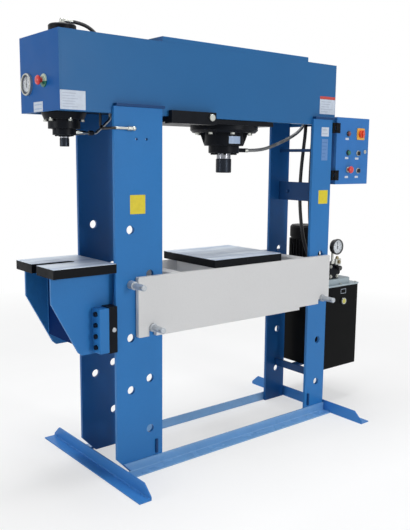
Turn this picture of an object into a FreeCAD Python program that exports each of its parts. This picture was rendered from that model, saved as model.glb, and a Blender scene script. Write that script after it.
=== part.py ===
import FreeCAD
import Part
import math
import os

V = FreeCAD.Vector

# ---------------------------------------------------------------- sizes, in mm
# The drawing frame has X along the beam from its left end, Y back from the beam's
# front face and Z up from the floor. put() shifts it to the middle of the footprint.

# fits
RUN_FIT = 0.05          # radial, shafts that turn or slide
SEAT = 0.3              # gap between a moving piece and what it seats on
HOLE_FIT = 0.3          # radial, pins and bolts in plain holes

# the right upright's column of holes places that upright and the beam's right end
COL_R_X = 1605.0
RIGHT_IN = 89.0
RIGHT_OUT = 64.0
BEAM_OVER = 36.0
RIGHT_X0 = COL_R_X - RIGHT_IN
RIGHT_X1 = COL_R_X + RIGHT_OUT

# beam
BEAM_L = RIGHT_X1 + BEAM_OVER
BEAM_D = 370.0
BEAM_Z = 1664.0
BEAM_H = 327.0
BEAM_WEB = 10.0
BEAM_FLANGE = 43.0
BEAM_FLANGE_T = 12.0
END_T = 8.0
BEAM_TOP = BEAM_Z + BEAM_H
HOOD_LEFT = 15.0        # hood's ends to the uprights
HOOD_RIGHT = 41.0
HOOD_RISE = 24.0
HOOD_T = 4.0
HOOD_INSET = 1.0

# uprights: a front and a rear flat bar each side
PLATE_T = 16.0
GAP_Y = 311.0           # clear space between front and rear bars
LEFT_X0 = 248.0
LEFT_X1 = 504.0
FRONT_TOP = BEAM_Z + 29.0
COPE_X = 74.0
COPE_Z = 78.0
HOLE_D = 40.0
PITCH = 250.0
COL_A_X = 328.0         # left upright, outer column of holes
COL_A_Z = 402.0
COL_B_X = 433.0         # left upright, inner column
COL_B_Z = 192.0
HOLE_ROWS = 4
SMALL_HOLE_D = 12.0
SMALL_HOLE_X = (364.0, 418.0)
SMALL_HOLE_Z = 1555.0
LEDGE_H = 13.0
LEDGE_D = 24.0
LEDGE_OVER = 9.0
MID_Y = GAP_Y / 2.0     # middle plane between the uprights' bars
HOOD_X0 = LEFT_X1 + HOOD_LEFT
HOOD_X1 = RIGHT_X0 - HOOD_RIGHT

# base angles
FOOT_Y0 = -303.0
FOOT_Y1 = 600.0
FOOT_LEG = 63.0
ANGLE_T = 6.0
ANGLE_ROOT_R = 5.0
FOOT_CHAMFER_Y = 52.0
FOOT_CHAMFER_Z = 46.0
FOOT_CLEAR = 5.0        # foot's upright leg to the bars' outer edge
RAIL_UP = 50.0
RAIL_OUT = 62.0
RAIL_MITRE = 42.0
WEDGE_W = 11.0
WEDGE_Z0 = 61.0
WEDGE_Z1 = 130.0

# ties of the right upright
TIE_T = 10.0
MID_TIE_Z = (1238.0, 1344.0)
TOP_TIE_Z = (1516.0, 1533.0)
LOW_TIE_Z = (215.0, 258.0)
ARM_W = 45.0            # flat bars under the tank
ARM_T = 12.0

# side cylinder
SC_X = 115.0
SC_Y = BEAM_D / 2.0
SC_FLANGE_R = 99.0
SC_FLANGE_LOW_R = 87.0
SC_FLANGE_Z0 = 1636.0
SC_BODY_R = 70.5
SC_BODY_Z0 = 1596.0
SC_UPPER_R = 60.5
SC_TOP = 2018.0
SC_CAP_H = 21.0
SC_BORE_R = 45.0
SC_GLAND_R = 51.5
SC_GLAND_Z0 = 1569.0
SC_NECK_R = 25.0
SC_NECK_H = 7.0
SC_ROD_R = 19.4
SC_HEAD_R = 21.0
SC_HEAD_Z = (1519.0, 1556.0)
SC_GLAND_IN = 50.0      # gland's length inside the barrel
SC_CAP_IN = 18.0
SC_PISTON_H = 40.0
SC_PISTON_AT = 0.47     # piston's place in the bore with the ram drawn up
SC_BOLTS = 6
SC_BOLT_CIRCLE = 82.0
MOUNT_T = 20.0
MOUNT_X1 = 430.0
BLOCK_L_X = (-30.0, 45.0)
BLOCK_L_HALF = 32.0
BLOCK_R_L = 70.0
BLOCK_R_Y = (105.0, 205.0)
BLOCK_R_Z = (1750.0, 1810.0)
BLOCK_ROUND = 5.0
FERRULE_L = 16.0

# main cylinder and its carriage
MC_X = 1044.0
MC_Y = BEAM_D / 2.0
MC_FLANGE_R = 178.0
MC_FLANGE_Z = (1606.0, 1640.0)
MC_BEVEL = 13.0
MC_BODY_R = 104.0
MC_BODY_Z0 = 1540.0
MC_TOP = 1950.0
MC_CAP_H = 24.0
MC_BORE_R = 75.0
MC_GLAND_R = 81.0
MC_GLAND_Z0 = 1501.0
MC_ROD_R = 37.0
MC_HEAD_R = 41.0
MC_HEAD_Z = (1400.0, 1473.0)
MC_PISTON_Z = (1765.0, 1815.0)
MC_BOLTS = 8
MC_BOLT_CIRCLE = 146.0
MC_RIB_ANGLES = (51.0, 141.0, -39.0)
MC_RIB_R = 127.0
MC_RIB_T = 8.0
PORT_Z = 1519.0
PORT_R = 14.0
PORT_END_X = 1190.0
PORT_NUT = 26.0
PORT_PIPE_R = 11.0

CAR_X0 = 560.0
CAR_X1 = 1236.0
CAR_Y0 = 5.0
CAR_Z = (MC_FLANGE_Z[1], 1661.0)
CHEEK_X0 = 548.0
CHEEK_X1 = 812.0
CHEEK_Y0 = -30.0
CHEEK_Y1 = -4.0
CHEEK_Z = (1632.0, 1690.0)
CLAMP_X = 782.0
CLAMP_Z = 1665.0
WHEEL_R = 29.7
WHEEL_W = 20.0
WHEEL_Y0 = 20.0
AXLE_R = 12.0
AXLE_OFF = 150.0
CAR_LUG_Y = (46.0, 58.0)
CAR_LUG_W = 60.0
CAR_LUG_TOP = 1732.0

# bed: two long side plates, cross beams and two table plates
BED_X0 = COL_B_X - 79.0
BED_X1 = COL_R_X + 56.0
BED_T = 22.0
BED_CLEAR = 2.0
BED_LOW = 650.0
BED_TOP = 935.0
NOTCH_R = 20.0
BED_STEP_X = (COL_R_X - 184.0, COL_R_X - 30.0)
BED_STEP_Z = (661.0, 688.0)
CROSS_W = 62.0
CROSS_H = 150.0
CROSS_T = 8.0
TABLE_X0 = 813.0
TABLE_X1 = 1275.0
CROSS_X = (LEFT_X1 + 56.0, TABLE_X0 + 29.0, TABLE_X1 - 89.0, RIGHT_X0 - 96.0)
TABLE_SEAM = 1032.0
TABLE_Y = (-33.0, 403.0)
TABLE_T = 41.0
TABLE_CHAMFER = 2.0

# side table and its bracket
ST_X0 = -61.0
ST_X1 = LEFT_X0 - 1.0
ST_HALF = 183.0
ST_TOP = 1007.0
ST_T = 42.0
ST_SLOT_W = 48.0
ST_SLOT_X1 = 135.0
GUSSET_T = 12.0
GUSSET_Y = 26.0
GUSSET_X0 = -47.0
GUSSET_X1 = 258.0
GUSSET_KNEE_Z = 849.0
GUSSET_TOE = ((80.0, 613.0), (96.0, 600.0))
WEB_X = 60.0
WEB_T = 10.0
WEB_Z0 = 655.0
HOOK_T = 12.0
HOOK_X1 = 366.0
HOOK_X0 = 176.0
HOOK_Z = (856.0, 952.0)
BAR_X = (152.0, 199.0)
BAR_Y0 = -38.0
BAR_Z = (610.0, 812.0)
BLOCK_X1 = 243.0
BLOCK_Y1 = 22.0
BLOCK_Z = (605.0, 817.0)
GUIDE_Z = 711.0
GUIDE_R = 22.7
GUIDE_X = LEFT_X0 - SEAT - GUIDE_R
GUIDE_AXLE_R = 11.0
GUIDE_W = 22.0
BOLT_Z = (636.0, 686.0, 737.0, 787.0)
BOLT_Y = -8.0
BOLT_R = 7.0
BOLT_HEAD_R = 11.5
BOLT_HEAD_T = 11.0
BOLT_GRIP = 8.0         # thread length in the guide block

# locking pins
PIN_R = HOLE_D / 2.0 - HOLE_FIT
PIN_GRIP_R = 14.0
PIN_GRIP = 78.0
PIN_OUT = 52.0          # full body in front of the drawing plane Y = 0
PIN_BACK = 28.0         # past the rear bar
PIN_CHAMFER = 4.0

# switch cabinet
CAB_X0 = BEAM_L + 1.0
CAB_X1 = CAB_X0 + 286.0
CAB_Z = (1335.0, 1711.0)
CAB_FRONT = -20.0
DOOR_D = 18.0
CAB_D = 180.0
CAB_SHEET = 2.5
HINGE_R = 6.0
HINGE_Z = (1386.0, 1650.0)
HINGE_H = 56.0
LAMP_XZ = (CAB_X0 + 100.0, CAB_Z[0] + 286.0)
SWITCH_XZ = (CAB_X0 + 207.0, CAB_Z[0] + 287.0)
SWITCH_PLATE = 66.0
START_XZ = (CAB_X0 + 102.0, CAB_Z[0] + 179.0)
SEL1_XZ = (CAB_X0 + 192.0, CAB_Z[0] + 177.0)
SEL2_XZ = (CAB_X0 + 196.0, CAB_Z[0] + 77.0)
LOCK_XZ = (CAB_X0 + 253.0, CAB_Z[0] + 186.0)
STOP_XZ = (CAB_X0 + 108.0, CAB_Z[0] + 83.0)
BEZEL_R = 16.0
BUTTON_R = 12.0
STEM_R = 9.0
MUSHROOM_R = 20.0

# gauge and stop button on the beam's left end
GAUGE_Y = 294.0
GAUGE_Z = 1786.0
GAUGE_BEZEL_R = 48.0
GAUGE_BODY_R = 43.0
GAUGE_FRONT = -14.0
GAUGE_DEEP = 50.0
STOP_Y = 137.0
STOP_RING_R = 28.0
STOP_RING_T = 6.0
STOP_COLLAR_R = 17.0
STOP_Z = 1792.0

# tank and pump
TANK_X = (BEAM_L + 10.0, BEAM_L + 311.0)
TANK_Y = (30.0, 430.0)
TANK_Z = (226.0, 723.0)
TANK_SHEET = 3.0
LID_T = 9.0
LID_OVER = 4.0
BASE_X = (TANK_X[0] + 30.0, TANK_X[1] - 51.0)
BASE_Y = (50.0, 214.0)
BASE_H = 34.0
MOTOR_X = TANK_X[0] + 123.0
MOTOR_Y = 322.0
MOTOR_R = 90.0
MOTOR_Z1 = 1000.0
COWL_Z1 = 1072.0
VALVE_X = (TANK_X[0] + 67.0, TANK_X[0] + 147.0)
VALVE_Y = (62.0, 150.0)
VALVE_H = 92.0
COIL_R = 21.0
COIL_L = 60.0
COIL_NUT_R = 9.0
COIL_NUT_L = 13.0
COIL_UP = 30.0
VALVE_FERRULE = 20.0
TG_X = TANK_X[0] + 101.0
TG_Z = 963.0
TG_R = 47.0
TG_FRONT = 30.0
TG_D = 32.0
SIGHT_X = TANK_X[0] + 163.0
SIGHT_Z = 630.0

# hoses
MAIN_HOSE_D = 18.0
TOP_HOSE_D = 16.0
DROP_HOSE_D = 20.0
PIPE_D = 12.0


# routes of the four hoses, point by point
TOP_FIT_Z = SC_TOP + SC_CAP_H + 19.0
BLOCK_TOP_Z = 1760.0
PORT_X = BEAM_L - 55.0


def top_z(share):
    """Height at a share of the way up from the left block to the top fitting."""
    return round(BLOCK_TOP_Z + share * (TOP_FIT_Z - BLOCK_TOP_Z))


def main_x(share):
    """Place along the beam at a share of the way from the main cylinder's port."""
    return round(PORT_END_X + share * (PORT_X - PORT_END_X))


TOP_ROUTE = [(141, 185, TOP_FIT_Z), (201, 185, TOP_FIT_Z), (264, 184, top_z(0.926))]
TOP_ROUTE += [(316, 183, top_z(0.745)), (350, 184, top_z(0.487)), (361, 185, top_z(0.235))]
TOP_ROUTE += [(361, 185, BLOCK_TOP_Z)]
MAIN_ROUTE = [(PORT_END_X, 185, PORT_Z), (main_x(0.157), 185, PORT_Z), (main_x(0.348), 182, 1530)]
MAIN_ROUTE += [(main_x(0.535), 176, 1560), (main_x(0.717), 168, 1592), (main_x(0.870), 160, 1632)]
MAIN_ROUTE += [(main_x(0.965), 154, 1684), (PORT_X, 150, 1740)]
FRONT_ROUTE = [(PORT_X + 10, 118, 1740), (PORT_X + 10, 118, 1650), (PORT_X, 115, 1535)]
FRONT_ROUTE += [(PORT_X - 9, 112, 1400), (PORT_X - 10, 111, 1260), (PORT_X - 4, 110, 1120)]
FRONT_ROUTE += [(PORT_X + 12, 109, 1010), (PORT_X + 40, 108, 930), (PORT_X + 78, 107, 874)]
FRONT_ROUTE += [(PORT_X + 120, 106, 834)]
REAR_ROUTE = [(PORT_X + 26, 190, 1740), (PORT_X + 26, 190, 1650), (PORT_X + 8, 188, 1530)]
REAR_ROUTE += [(PORT_X - 13, 184, 1390), (PORT_X - 22, 178, 1250), (PORT_X - 16, 168, 1110)]
REAR_ROUTE += [(PORT_X + 2, 156, 990), (PORT_X + 34, 144, 900), (PORT_X + 74, 136, 842)]
REAR_ROUTE += [(PORT_X + 120, 132, 802)]

# ---------------------------------------------------------------- frame shift
X_SHIFT = (ST_X0 + TANK_X[1] + LID_OVER) / 2.0
Y_SHIFT = (FOOT_Y0 + FOOT_Y1) / 2.0

os.makedirs("parts", exist_ok=True)


def put(name, *solids):
    """Move the solids to the shared frame and write them as one node."""
    moved = []
    for solid in solids:
        piece = solid.copy()
        piece.translate(V(-X_SHIFT, -Y_SHIFT, 0))
        moved.extend(piece.Solids)
    shape = moved[0] if len(moved) == 1 else Part.makeCompound(moved)
    shape.exportStep("parts/" + name + ".step")
    bb = shape.BoundBox
    text = "%-26s %2d  x %8.1f %8.1f  y %8.1f %8.1f  z %8.1f %8.1f"
    print(text % (name, len(moved), bb.XMin, bb.XMax, bb.YMin, bb.YMax, bb.ZMin, bb.ZMax))


def box(x0, x1, y0, y1, z0, z1):
    return Part.makeBox(x1 - x0, y1 - y0, z1 - z0, V(x0, y0, z0))


def rod_x(y, z, x0, x1, r):
    return Part.makeCylinder(r, x1 - x0, V(x0, y, z), V(1, 0, 0))


def rod_y(x, z, y0, y1, r):
    return Part.makeCylinder(r, y1 - y0, V(x, y0, z), V(0, 1, 0))


def rod_z(x, y, z0, z1, r):
    return Part.makeCylinder(r, z1 - z0, V(x, y, z0), V(0, 0, 1))


def slab(points, axis, a0, a1):
    """A flat outline drawn square to an axis, and extruded along it."""
    if axis == "Y":
        corners = [V(p[0], a0, p[1]) for p in points]
        way = V(0, a1 - a0, 0)
    elif axis == "X":
        corners = [V(a0, p[0], p[1]) for p in points]
        way = V(a1 - a0, 0, 0)
    else:
        corners = [V(p[0], p[1], a0) for p in points]
        way = V(0, 0, a1 - a0)
    wire = Part.makePolygon(corners + [corners[0]])
    return Part.Face(wire).extrude(way)


def turned(profile, x, y):
    """Revolve a profile of (radius, height) about an upright axis."""
    corners = [V(x + p[0], y, p[1]) for p in profile]
    wire = Part.makePolygon(corners + [corners[0]])
    return Part.Face(wire).revolve(V(x, y, 0), V(0, 0, 1), 360)


def turned_y(profile, x, z):
    """Revolve a profile of (radius, depth) about an axis along Y."""
    corners = [V(x + p[0], p[1], z) for p in profile]
    wire = Part.makePolygon(corners + [corners[0]])
    return Part.Face(wire).revolve(V(x, 0, z), V(0, 1, 0), 360)


def turned_x(profile, y, z):
    """Revolve a profile of (radius, distance) about an axis along X."""
    corners = [V(p[1], y, z + p[0]) for p in profile]
    wire = Part.makePolygon(corners + [corners[0]])
    return Part.Face(wire).revolve(V(0, y, z), V(1, 0, 0), 360)


def hexagon(cx, cy, cz, r, h, axis):
    """A hexagonal bolt head or nut, r across the corners."""
    pts = []
    for k in range(6):
        a = math.radians(60 * k + 30)
        pts.append((r * math.cos(a), r * math.sin(a)))
    if axis == "X":
        return slab([(cy + p[0], cz + p[1]) for p in pts], "X", cx, cx + h)
    if axis == "Y":
        return slab([(cx + p[0], cz + p[1]) for p in pts], "Y", cy, cy + h)
    return slab([(cx + p[0], cy + p[1]) for p in pts], "Z", cz, cz + h)


def mirror_y(shape, y):
    return shape.mirror(V(0, y, 0), V(0, 1, 0))


def fillet_along(shape, axis, r, pick=None):
    """Round the straight edges that run along an axis."""
    found = []
    for edge in shape.Edges:
        if edge.Curve.TypeId != "Part::GeomLine":
            continue
        d = edge.tangentAt(edge.FirstParameter)
        along = {"X": abs(d.x), "Y": abs(d.y), "Z": abs(d.z)}[axis]
        if along > 0.999 and (pick is None or pick(edge.CenterOfMass)):
            found.append(edge)
    if not found:
        return shape
    return shape.makeFillet(r, found)


def end_piece(points, last, length, r):
    """A plain ferrule that carries a hose on, straight past one end of its route."""
    tip = V(*points[-1 if last else 0])
    back = V(*points[-2 if last else 1])
    return Part.makeCylinder(r, length, tip, (tip - back).normalize())


def tube(name, points, d):
    """A hose along straight runs with an arc at each point of its route."""
    pts = [V(*p) for p in points]
    edges = []
    start = pts[0]
    radii = []
    for k in range(1, len(pts) - 1):
        a = pts[k - 1] - pts[k]
        b = pts[k + 1] - pts[k]
        run = min(a.Length, b.Length)
        ua = V(a.x, a.y, a.z).normalize()
        ub = V(b.x, b.y, b.z).normalize()
        turn = math.pi - ua.getAngle(ub)
        back = 0.45 * run
        radius = back / math.tan(turn / 2.0)
        radii.append(round(radius))
        p0 = pts[k] + ua * back
        p1 = pts[k] + ub * back
        bis = (ua + ub).normalize()
        centre = pts[k] + bis * (radius / math.cos(turn / 2.0))
        mid = centre - bis * radius
        edges.append(Part.LineSegment(start, p0).toShape())
        edges.append(Part.Arc(p0, mid, p1).toShape())
        start = p1
    edges.append(Part.LineSegment(start, pts[-1]).toShape())
    wire = Part.Wire(edges)
    way = (pts[1] - pts[0]).normalize()
    ring = Part.Wire([Part.makeCircle(d / 2.0, pts[0], way)])
    pipe = wire.makePipeShell([ring], True, False)
    print("route", name, "length", round(wire.Length), "radii", radii, "least", min(radii))
    return pipe


# ---------------------------------------------------------------- beam
z0 = BEAM_Z
z1 = BEAM_TOP
ft = BEAM_FLANGE_T
walls = []
for y0, y1, f0, f1 in ((0, BEAM_WEB, BEAM_WEB, BEAM_FLANGE),
                       (BEAM_D - BEAM_WEB, BEAM_D, BEAM_D - BEAM_FLANGE, BEAM_D - BEAM_WEB)):
    walls.append(box(END_T, BEAM_L - END_T, y0, y1, z0, z1))
    walls.append(box(END_T, BEAM_L - END_T, f0, f1, z0, z0 + ft))
    walls.append(box(END_T, BEAM_L - END_T, f0, f1, z1 - ft, z1))
left_end = box(0, END_T, 0, BEAM_D, z0, z1)
left_end = left_end.cut(rod_x(GAUGE_Y, GAUGE_Z, -1, END_T + 1, GAUGE_BODY_R + HOLE_FIT))
left_end = left_end.cut(rod_x(STOP_Y, STOP_Z, -1, END_T + 1, STEM_R + 2))
right_end = box(BEAM_L - END_T, BEAM_L, 0, BEAM_D, z0, z1)
put("beam_box", *walls, left_end, right_end)

hood = box(HOOD_X0, HOOD_X1, HOOD_INSET, BEAM_D - HOOD_INSET, z1, z1 + HOOD_RISE)
hood = fillet_along(hood, "X", 3.0, lambda c: c.z > z1 + 1)
core = box(HOOD_X0 + HOOD_T, HOOD_X1 - HOOD_T, HOOD_INSET + HOOD_T,
           BEAM_D - HOOD_INSET - HOOD_T, z1 - 1, z1 + HOOD_RISE - HOOD_T)
put("beam_top_hood", hood.cut(core))

# ---------------------------------------------------------------- uprights


def rows(first):
    return [first + PITCH * k for k in range(HOLE_ROWS)]


holes = []
for z in rows(COL_A_Z):
    holes.append((COL_A_X, z, HOLE_D / 2.0))
for z in rows(COL_B_Z):
    holes.append((COL_B_X, z, HOLE_D / 2.0))
left_bar_outline = [(LEFT_X0, COPE_Z), (LEFT_X0 + COPE_X, 0), (LEFT_X1, 0)]


def upright_bar(outline, top, x0, x1, y0, y1, hole_list):
    corners = list(outline) + [(x1, top), (x0, top)]
    bar = slab(corners, "Y", y0, y1)
    for hx, hz, hr in hole_list:
        bar = bar.cut(rod_y(hx, hz, y0 - 1, y1 + 1, hr))
    return bar


left_front = upright_bar(left_bar_outline, FRONT_TOP, LEFT_X0, LEFT_X1, -PLATE_T, 0, holes)
for hx in SMALL_HOLE_X:
    left_front = left_front.cut(rod_y(hx, SMALL_HOLE_Z, -PLATE_T - 1, 1, SMALL_HOLE_D / 2.0))
REAR_TOP = BEAM_TOP - BEAM_FLANGE_T
left_rear = upright_bar(left_bar_outline, REAR_TOP, LEFT_X0, LEFT_X1,
                        GAP_Y, GAP_Y + PLATE_T, holes)
put("left_upright_bars", left_front, left_rear)

holes_r = [(COL_R_X, z, HOLE_D / 2.0) for z in rows(COL_B_Z)]
foot_line = [(RIGHT_X0, 0), (RIGHT_X1, 0)]
right_front = upright_bar(foot_line, FRONT_TOP, RIGHT_X0, RIGHT_X1, -PLATE_T, 0, holes_r)
right_rear = upright_bar(foot_line, REAR_TOP, RIGHT_X0, RIGHT_X1,
                         GAP_Y, GAP_Y + PLATE_T, holes_r)
put("right_upright_bars", right_front, right_rear)

ledges = []
for x0, x1 in ((LEFT_X0, LEFT_X1), (RIGHT_X0, RIGHT_X1)):
    ledge = box(x0 + LEDGE_OVER, x1 + LEDGE_OVER, -LEDGE_D, 0, FRONT_TOP, FRONT_TOP + LEDGE_H)
    ledges.append(fillet_along(ledge, "X", 3.0, lambda c: c.y < -1))
for x in (LEFT_X1 - 36.0, RIGHT_X0 + 22.0):
    wedge = box(x - WEDGE_W / 2, x + WEDGE_W / 2, -PLATE_T - 9, -PLATE_T, WEDGE_Z0, WEDGE_Z1)
    ledges.append(fillet_along(wedge, "X", 3.0, lambda c: c.z > WEDGE_Z1 - 1 and c.y < -PLATE_T - 1))

ties = []
for tz0, tz1 in (MID_TIE_Z, TOP_TIE_Z, LOW_TIE_Z):
    ties.append(box(COL_R_X - 5 - TIE_T, COL_R_X - 5, 0, GAP_Y, tz0, tz1))
for y in (70.0, GAP_Y - 70.0):
    head = hexagon(COL_R_X - 5 - TIE_T - 9, y, sum(MID_TIE_Z) / 2.0, 11, 9, "X")
    ties.append(head)
for bz in (HINGE_Z[0], HINGE_Z[1] - 8.0):
    flat = box(COL_R_X - 3, CAB_X0, 0, 6, bz - 14, bz + 14)
    leg = box(CAB_X0 - 6, CAB_X0, 6, 70, bz - 14, bz + 14)
    ties.append(flat.fuse(leg).removeSplitter())
for ty in (60.0, GAP_Y - 60.0 - ARM_W):
    arm = box(COL_R_X - 5, TANK_X[1] - 30, ty, ty + ARM_W, TANK_Z[0] - ARM_T, TANK_Z[0])
    ties.append(arm)
put("upright_fittings", *ledges, *ties)

# ---------------------------------------------------------------- base


def angle_bar(up, out, length):
    """An angle's section with a rounded root, along +Y, legs on +Z and +X."""
    t = ANGLE_T
    pts = [(0, 0), (out, 0), (out, t), (t, t), (t, up), (0, up)]
    bar = slab(pts, "Y", 0, length)
    return fillet_along(bar, "Y", ANGLE_ROOT_R, lambda c: abs(c.x - t) < 0.1 and abs(c.z - t) < 0.1)


foot = angle_bar(FOOT_LEG, FOOT_LEG, FOOT_Y1 - FOOT_Y0)
run = FOOT_Y1 - FOOT_Y0
low = FOOT_LEG - FOOT_CHAMFER_Z
for near, far in ((0, FOOT_CHAMFER_Y), (run, run - FOOT_CHAMFER_Y)):
    cutter = slab([(near, low), (far, FOOT_LEG + 0.01), (near, FOOT_LEG + 0.01)], "X", -1, ANGLE_T + 1)
    foot = foot.cut(cutter)
left_root = LEFT_X0 - FOOT_CLEAR
right_root = RIGHT_X1 + FOOT_CLEAR
left_foot = foot.mirror(V(0, 0, 0), V(1, 0, 0))
left_foot.translate(V(left_root, FOOT_Y0, 0))
right_foot = foot.copy()
right_foot.translate(V(right_root, FOOT_Y0, 0))

rail = angle_bar(RAIL_UP, RAIL_OUT, right_root - left_root)
rail.rotate(V(0, 0, 0), V(0, 0, 1), -90)
rail.translate(V(left_root, 0, 0))
cut_x0 = LEFT_X0 + COPE_X
mitre = slab([(left_root - 1, -1), (cut_x0, ANGLE_T), (cut_x0 - RAIL_MITRE, RAIL_UP + 1),
              (left_root - 1, RAIL_UP + 1)], "Y", -ANGLE_T - 0.01, 0.01)
mitre = mitre.cut(box(left_root - 2, cut_x0 + 1, -ANGLE_T - 1, 1, -2, ANGLE_T))
rail = rail.cut(mitre)
rail.translate(V(0, -PLATE_T, 0))
put("base_angles", left_foot, right_foot, rail, mirror_y(rail, MID_Y))

# ---------------------------------------------------------------- side cylinder
mount_z = BEAM_Z + BEAM_FLANGE_T
mount = box(END_T, MOUNT_X1, BEAM_WEB, GAP_Y - 1, mount_z, mount_z + MOUNT_T)
mount = mount.cut(rod_z(SC_X, SC_Y, mount_z - 1, mount_z + MOUNT_T + 1, SC_UPPER_R + HOLE_FIT))
PIPE_UP_X = 350.0
block_l = box(PIPE_UP_X + BLOCK_L_X[0], PIPE_UP_X + BLOCK_L_X[1], SC_Y - BLOCK_L_HALF,
              SC_Y + BLOCK_L_HALF, mount_z + MOUNT_T, BLOCK_TOP_Z)
mount = mount.cut(rod_z(PIPE_UP_X, SC_Y, mount_z - 1, mount_z + MOUNT_T + 1, PIPE_D / 2 + 2))
mount_rear = box(END_T, LEFT_X0 - 2, GAP_Y - 1, BEAM_D - BEAM_WEB,
                 mount_z, mount_z + MOUNT_T)
mount = mount.fuse(mount_rear).removeSplitter()
block_l = fillet_along(block_l, "Z", BLOCK_ROUND)
block_r = box(BEAM_L - END_T - BLOCK_R_L, BEAM_L - END_T, *BLOCK_R_Y, *BLOCK_R_Z)
block_r = fillet_along(block_r, "Y", BLOCK_ROUND)
for route, end, size in ((MAIN_ROUTE, True, 11.0), (FRONT_ROUTE, False, 12.0), (REAR_ROUTE, False, 12.0)):
    block_r = block_r.fuse(end_piece(route, end, FERRULE_L, size))
put("beam_inner_blocks", mount, block_l, block_r.removeSplitter())

sc = [(SC_BORE_R, SC_BODY_Z0), (SC_BODY_R, SC_BODY_Z0), (SC_BODY_R, SC_FLANGE_Z0)]
sc += [(SC_FLANGE_LOW_R, SC_FLANGE_Z0), (SC_FLANGE_R, BEAM_Z), (SC_FLANGE_R, mount_z)]
sc += [(SC_UPPER_R, mount_z), (SC_UPPER_R, SC_TOP), (SC_BORE_R, SC_TOP)]
side_barrel = turned(sc, SC_X, SC_Y)
side_bolts = []
for k in range(SC_BOLTS):
    a = math.radians(360.0 / SC_BOLTS * k + 21.0)
    bx = SC_X + SC_BOLT_CIRCLE * math.cos(a)
    by = SC_Y + SC_BOLT_CIRCLE * math.sin(a)
    side_barrel = side_barrel.cut(rod_z(bx, by, SC_FLANGE_Z0 - 1, mount_z + 1, BOLT_R + HOLE_FIT))
    side_bolts.append(hexagon(bx, by, SC_FLANGE_Z0 - 9, 9.5, 9, "Z").fuse(
        rod_z(bx, by, SC_FLANGE_Z0, mount_z, BOLT_R)))
put("side_cylinder_barrel", side_barrel)
put("side_cylinder_bolts", *side_bolts)

g0 = SC_GLAND_Z0
gland = [(SC_ROD_R + RUN_FIT, g0 - SC_NECK_H), (SC_NECK_R, g0 - SC_NECK_H), (SC_NECK_R + 3, g0)]
gland += [(SC_GLAND_R, g0), (SC_GLAND_R, SC_BODY_Z0), (SC_BORE_R - RUN_FIT, SC_BODY_Z0)]
gland_top = SC_BODY_Z0 + SC_GLAND_IN
gland += [(SC_BORE_R - RUN_FIT, gland_top), (SC_ROD_R + RUN_FIT, gland_top)]
put("side_cylinder_gland", turned(gland, SC_X, SC_Y))

cap_r = SC_UPPER_R
cap_low = SC_TOP - SC_CAP_IN
cap = [(0, cap_low), (SC_BORE_R - RUN_FIT, cap_low), (SC_BORE_R - RUN_FIT, SC_TOP)]
cap += [(cap_r, SC_TOP), (cap_r, SC_TOP + SC_CAP_H - 5), (cap_r - 5, SC_TOP + SC_CAP_H)]
cap += [(0, SC_TOP + SC_CAP_H)]
put("side_cylinder_cap", turned(cap, SC_X, SC_Y))

p0 = gland_top + SC_PISTON_AT * (cap_low - gland_top)
p1 = p0 + SC_PISTON_H
ram = [(0, SC_HEAD_Z[0] + 18), (11, SC_HEAD_Z[0] + 18), (11, SC_HEAD_Z[1])]
ram += [(SC_ROD_R, SC_HEAD_Z[1]), (SC_ROD_R, p0), (SC_BORE_R - RUN_FIT, p0)]
ram += [(SC_BORE_R - RUN_FIT, p1), (0, p1)]
put("side_ram", turned(ram, SC_X, SC_Y))
head = [(0, SC_HEAD_Z[0]), (SC_HEAD_R - 2, SC_HEAD_Z[0]), (SC_HEAD_R, SC_HEAD_Z[0] + 2)]
head += [(SC_HEAD_R, SC_HEAD_Z[1] - 2), (SC_HEAD_R - 2, SC_HEAD_Z[1]), (11 + RUN_FIT, SC_HEAD_Z[1])]
head += [(11 + RUN_FIT, SC_HEAD_Z[0] + 18 - RUN_FIT), (0, SC_HEAD_Z[0] + 18 - RUN_FIT)]
put("side_ram_head", turned(head, SC_X, SC_Y))

# ---------------------------------------------------------------- main cylinder
f0 = MC_FLANGE_Z[0]
f1 = MC_FLANGE_Z[1]
mc = [(MC_BORE_R, MC_BODY_Z0), (MC_BODY_R - 2, MC_BODY_Z0), (MC_BODY_R, MC_BODY_Z0 + 2)]
mc += [(MC_BODY_R, f0), (MC_FLANGE_R - MC_BEVEL, f0), (MC_FLANGE_R, f0 + MC_BEVEL)]
mc += [(MC_FLANGE_R, f1), (MC_BODY_R, f1), (MC_BODY_R, MC_TOP), (MC_BORE_R, MC_TOP)]
main_barrel = turned(mc, MC_X, MC_Y)
for a in MC_RIB_ANGLES:
    rib = slab([(MC_BODY_R - 6, MC_BODY_Z0 + 6), (MC_BODY_R + 1, MC_BODY_Z0 + 6),
                (MC_RIB_R, f0), (MC_BODY_R - 6, f0)], "Y", -MC_RIB_T / 2, MC_RIB_T / 2)
    rib.rotate(V(0, 0, 0), V(0, 0, 1), a)
    rib.translate(V(MC_X, MC_Y, 0))
    main_barrel = main_barrel.fuse(rib)
main_barrel = main_barrel.removeSplitter()
main_bolts = []
for k in range(MC_BOLTS):
    a = math.radians(360.0 / MC_BOLTS * k + 22.5)
    bx = MC_X + MC_BOLT_CIRCLE * math.cos(a)
    by = MC_Y + MC_BOLT_CIRCLE * math.sin(a)
    main_barrel = main_barrel.cut(rod_z(bx, by, f0 - 1, f1 + 1, BOLT_R + HOLE_FIT))
    main_bolts.append(hexagon(bx, by, f0 - 10, 11.5, 10, "Z").fuse(rod_z(bx, by, f0, f1, BOLT_R)))
clamp = turned_y([(0, CHEEK_Y0 - 12), (14, CHEEK_Y0 - 12), (17, CHEEK_Y0 - 9), (17, CHEEK_Y0),
                  (0, CHEEK_Y0)], CLAMP_X, CLAMP_Z)
put("main_cylinder_barrel", main_barrel)
put("main_carriage_bolts", clamp, *main_bolts)

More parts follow.
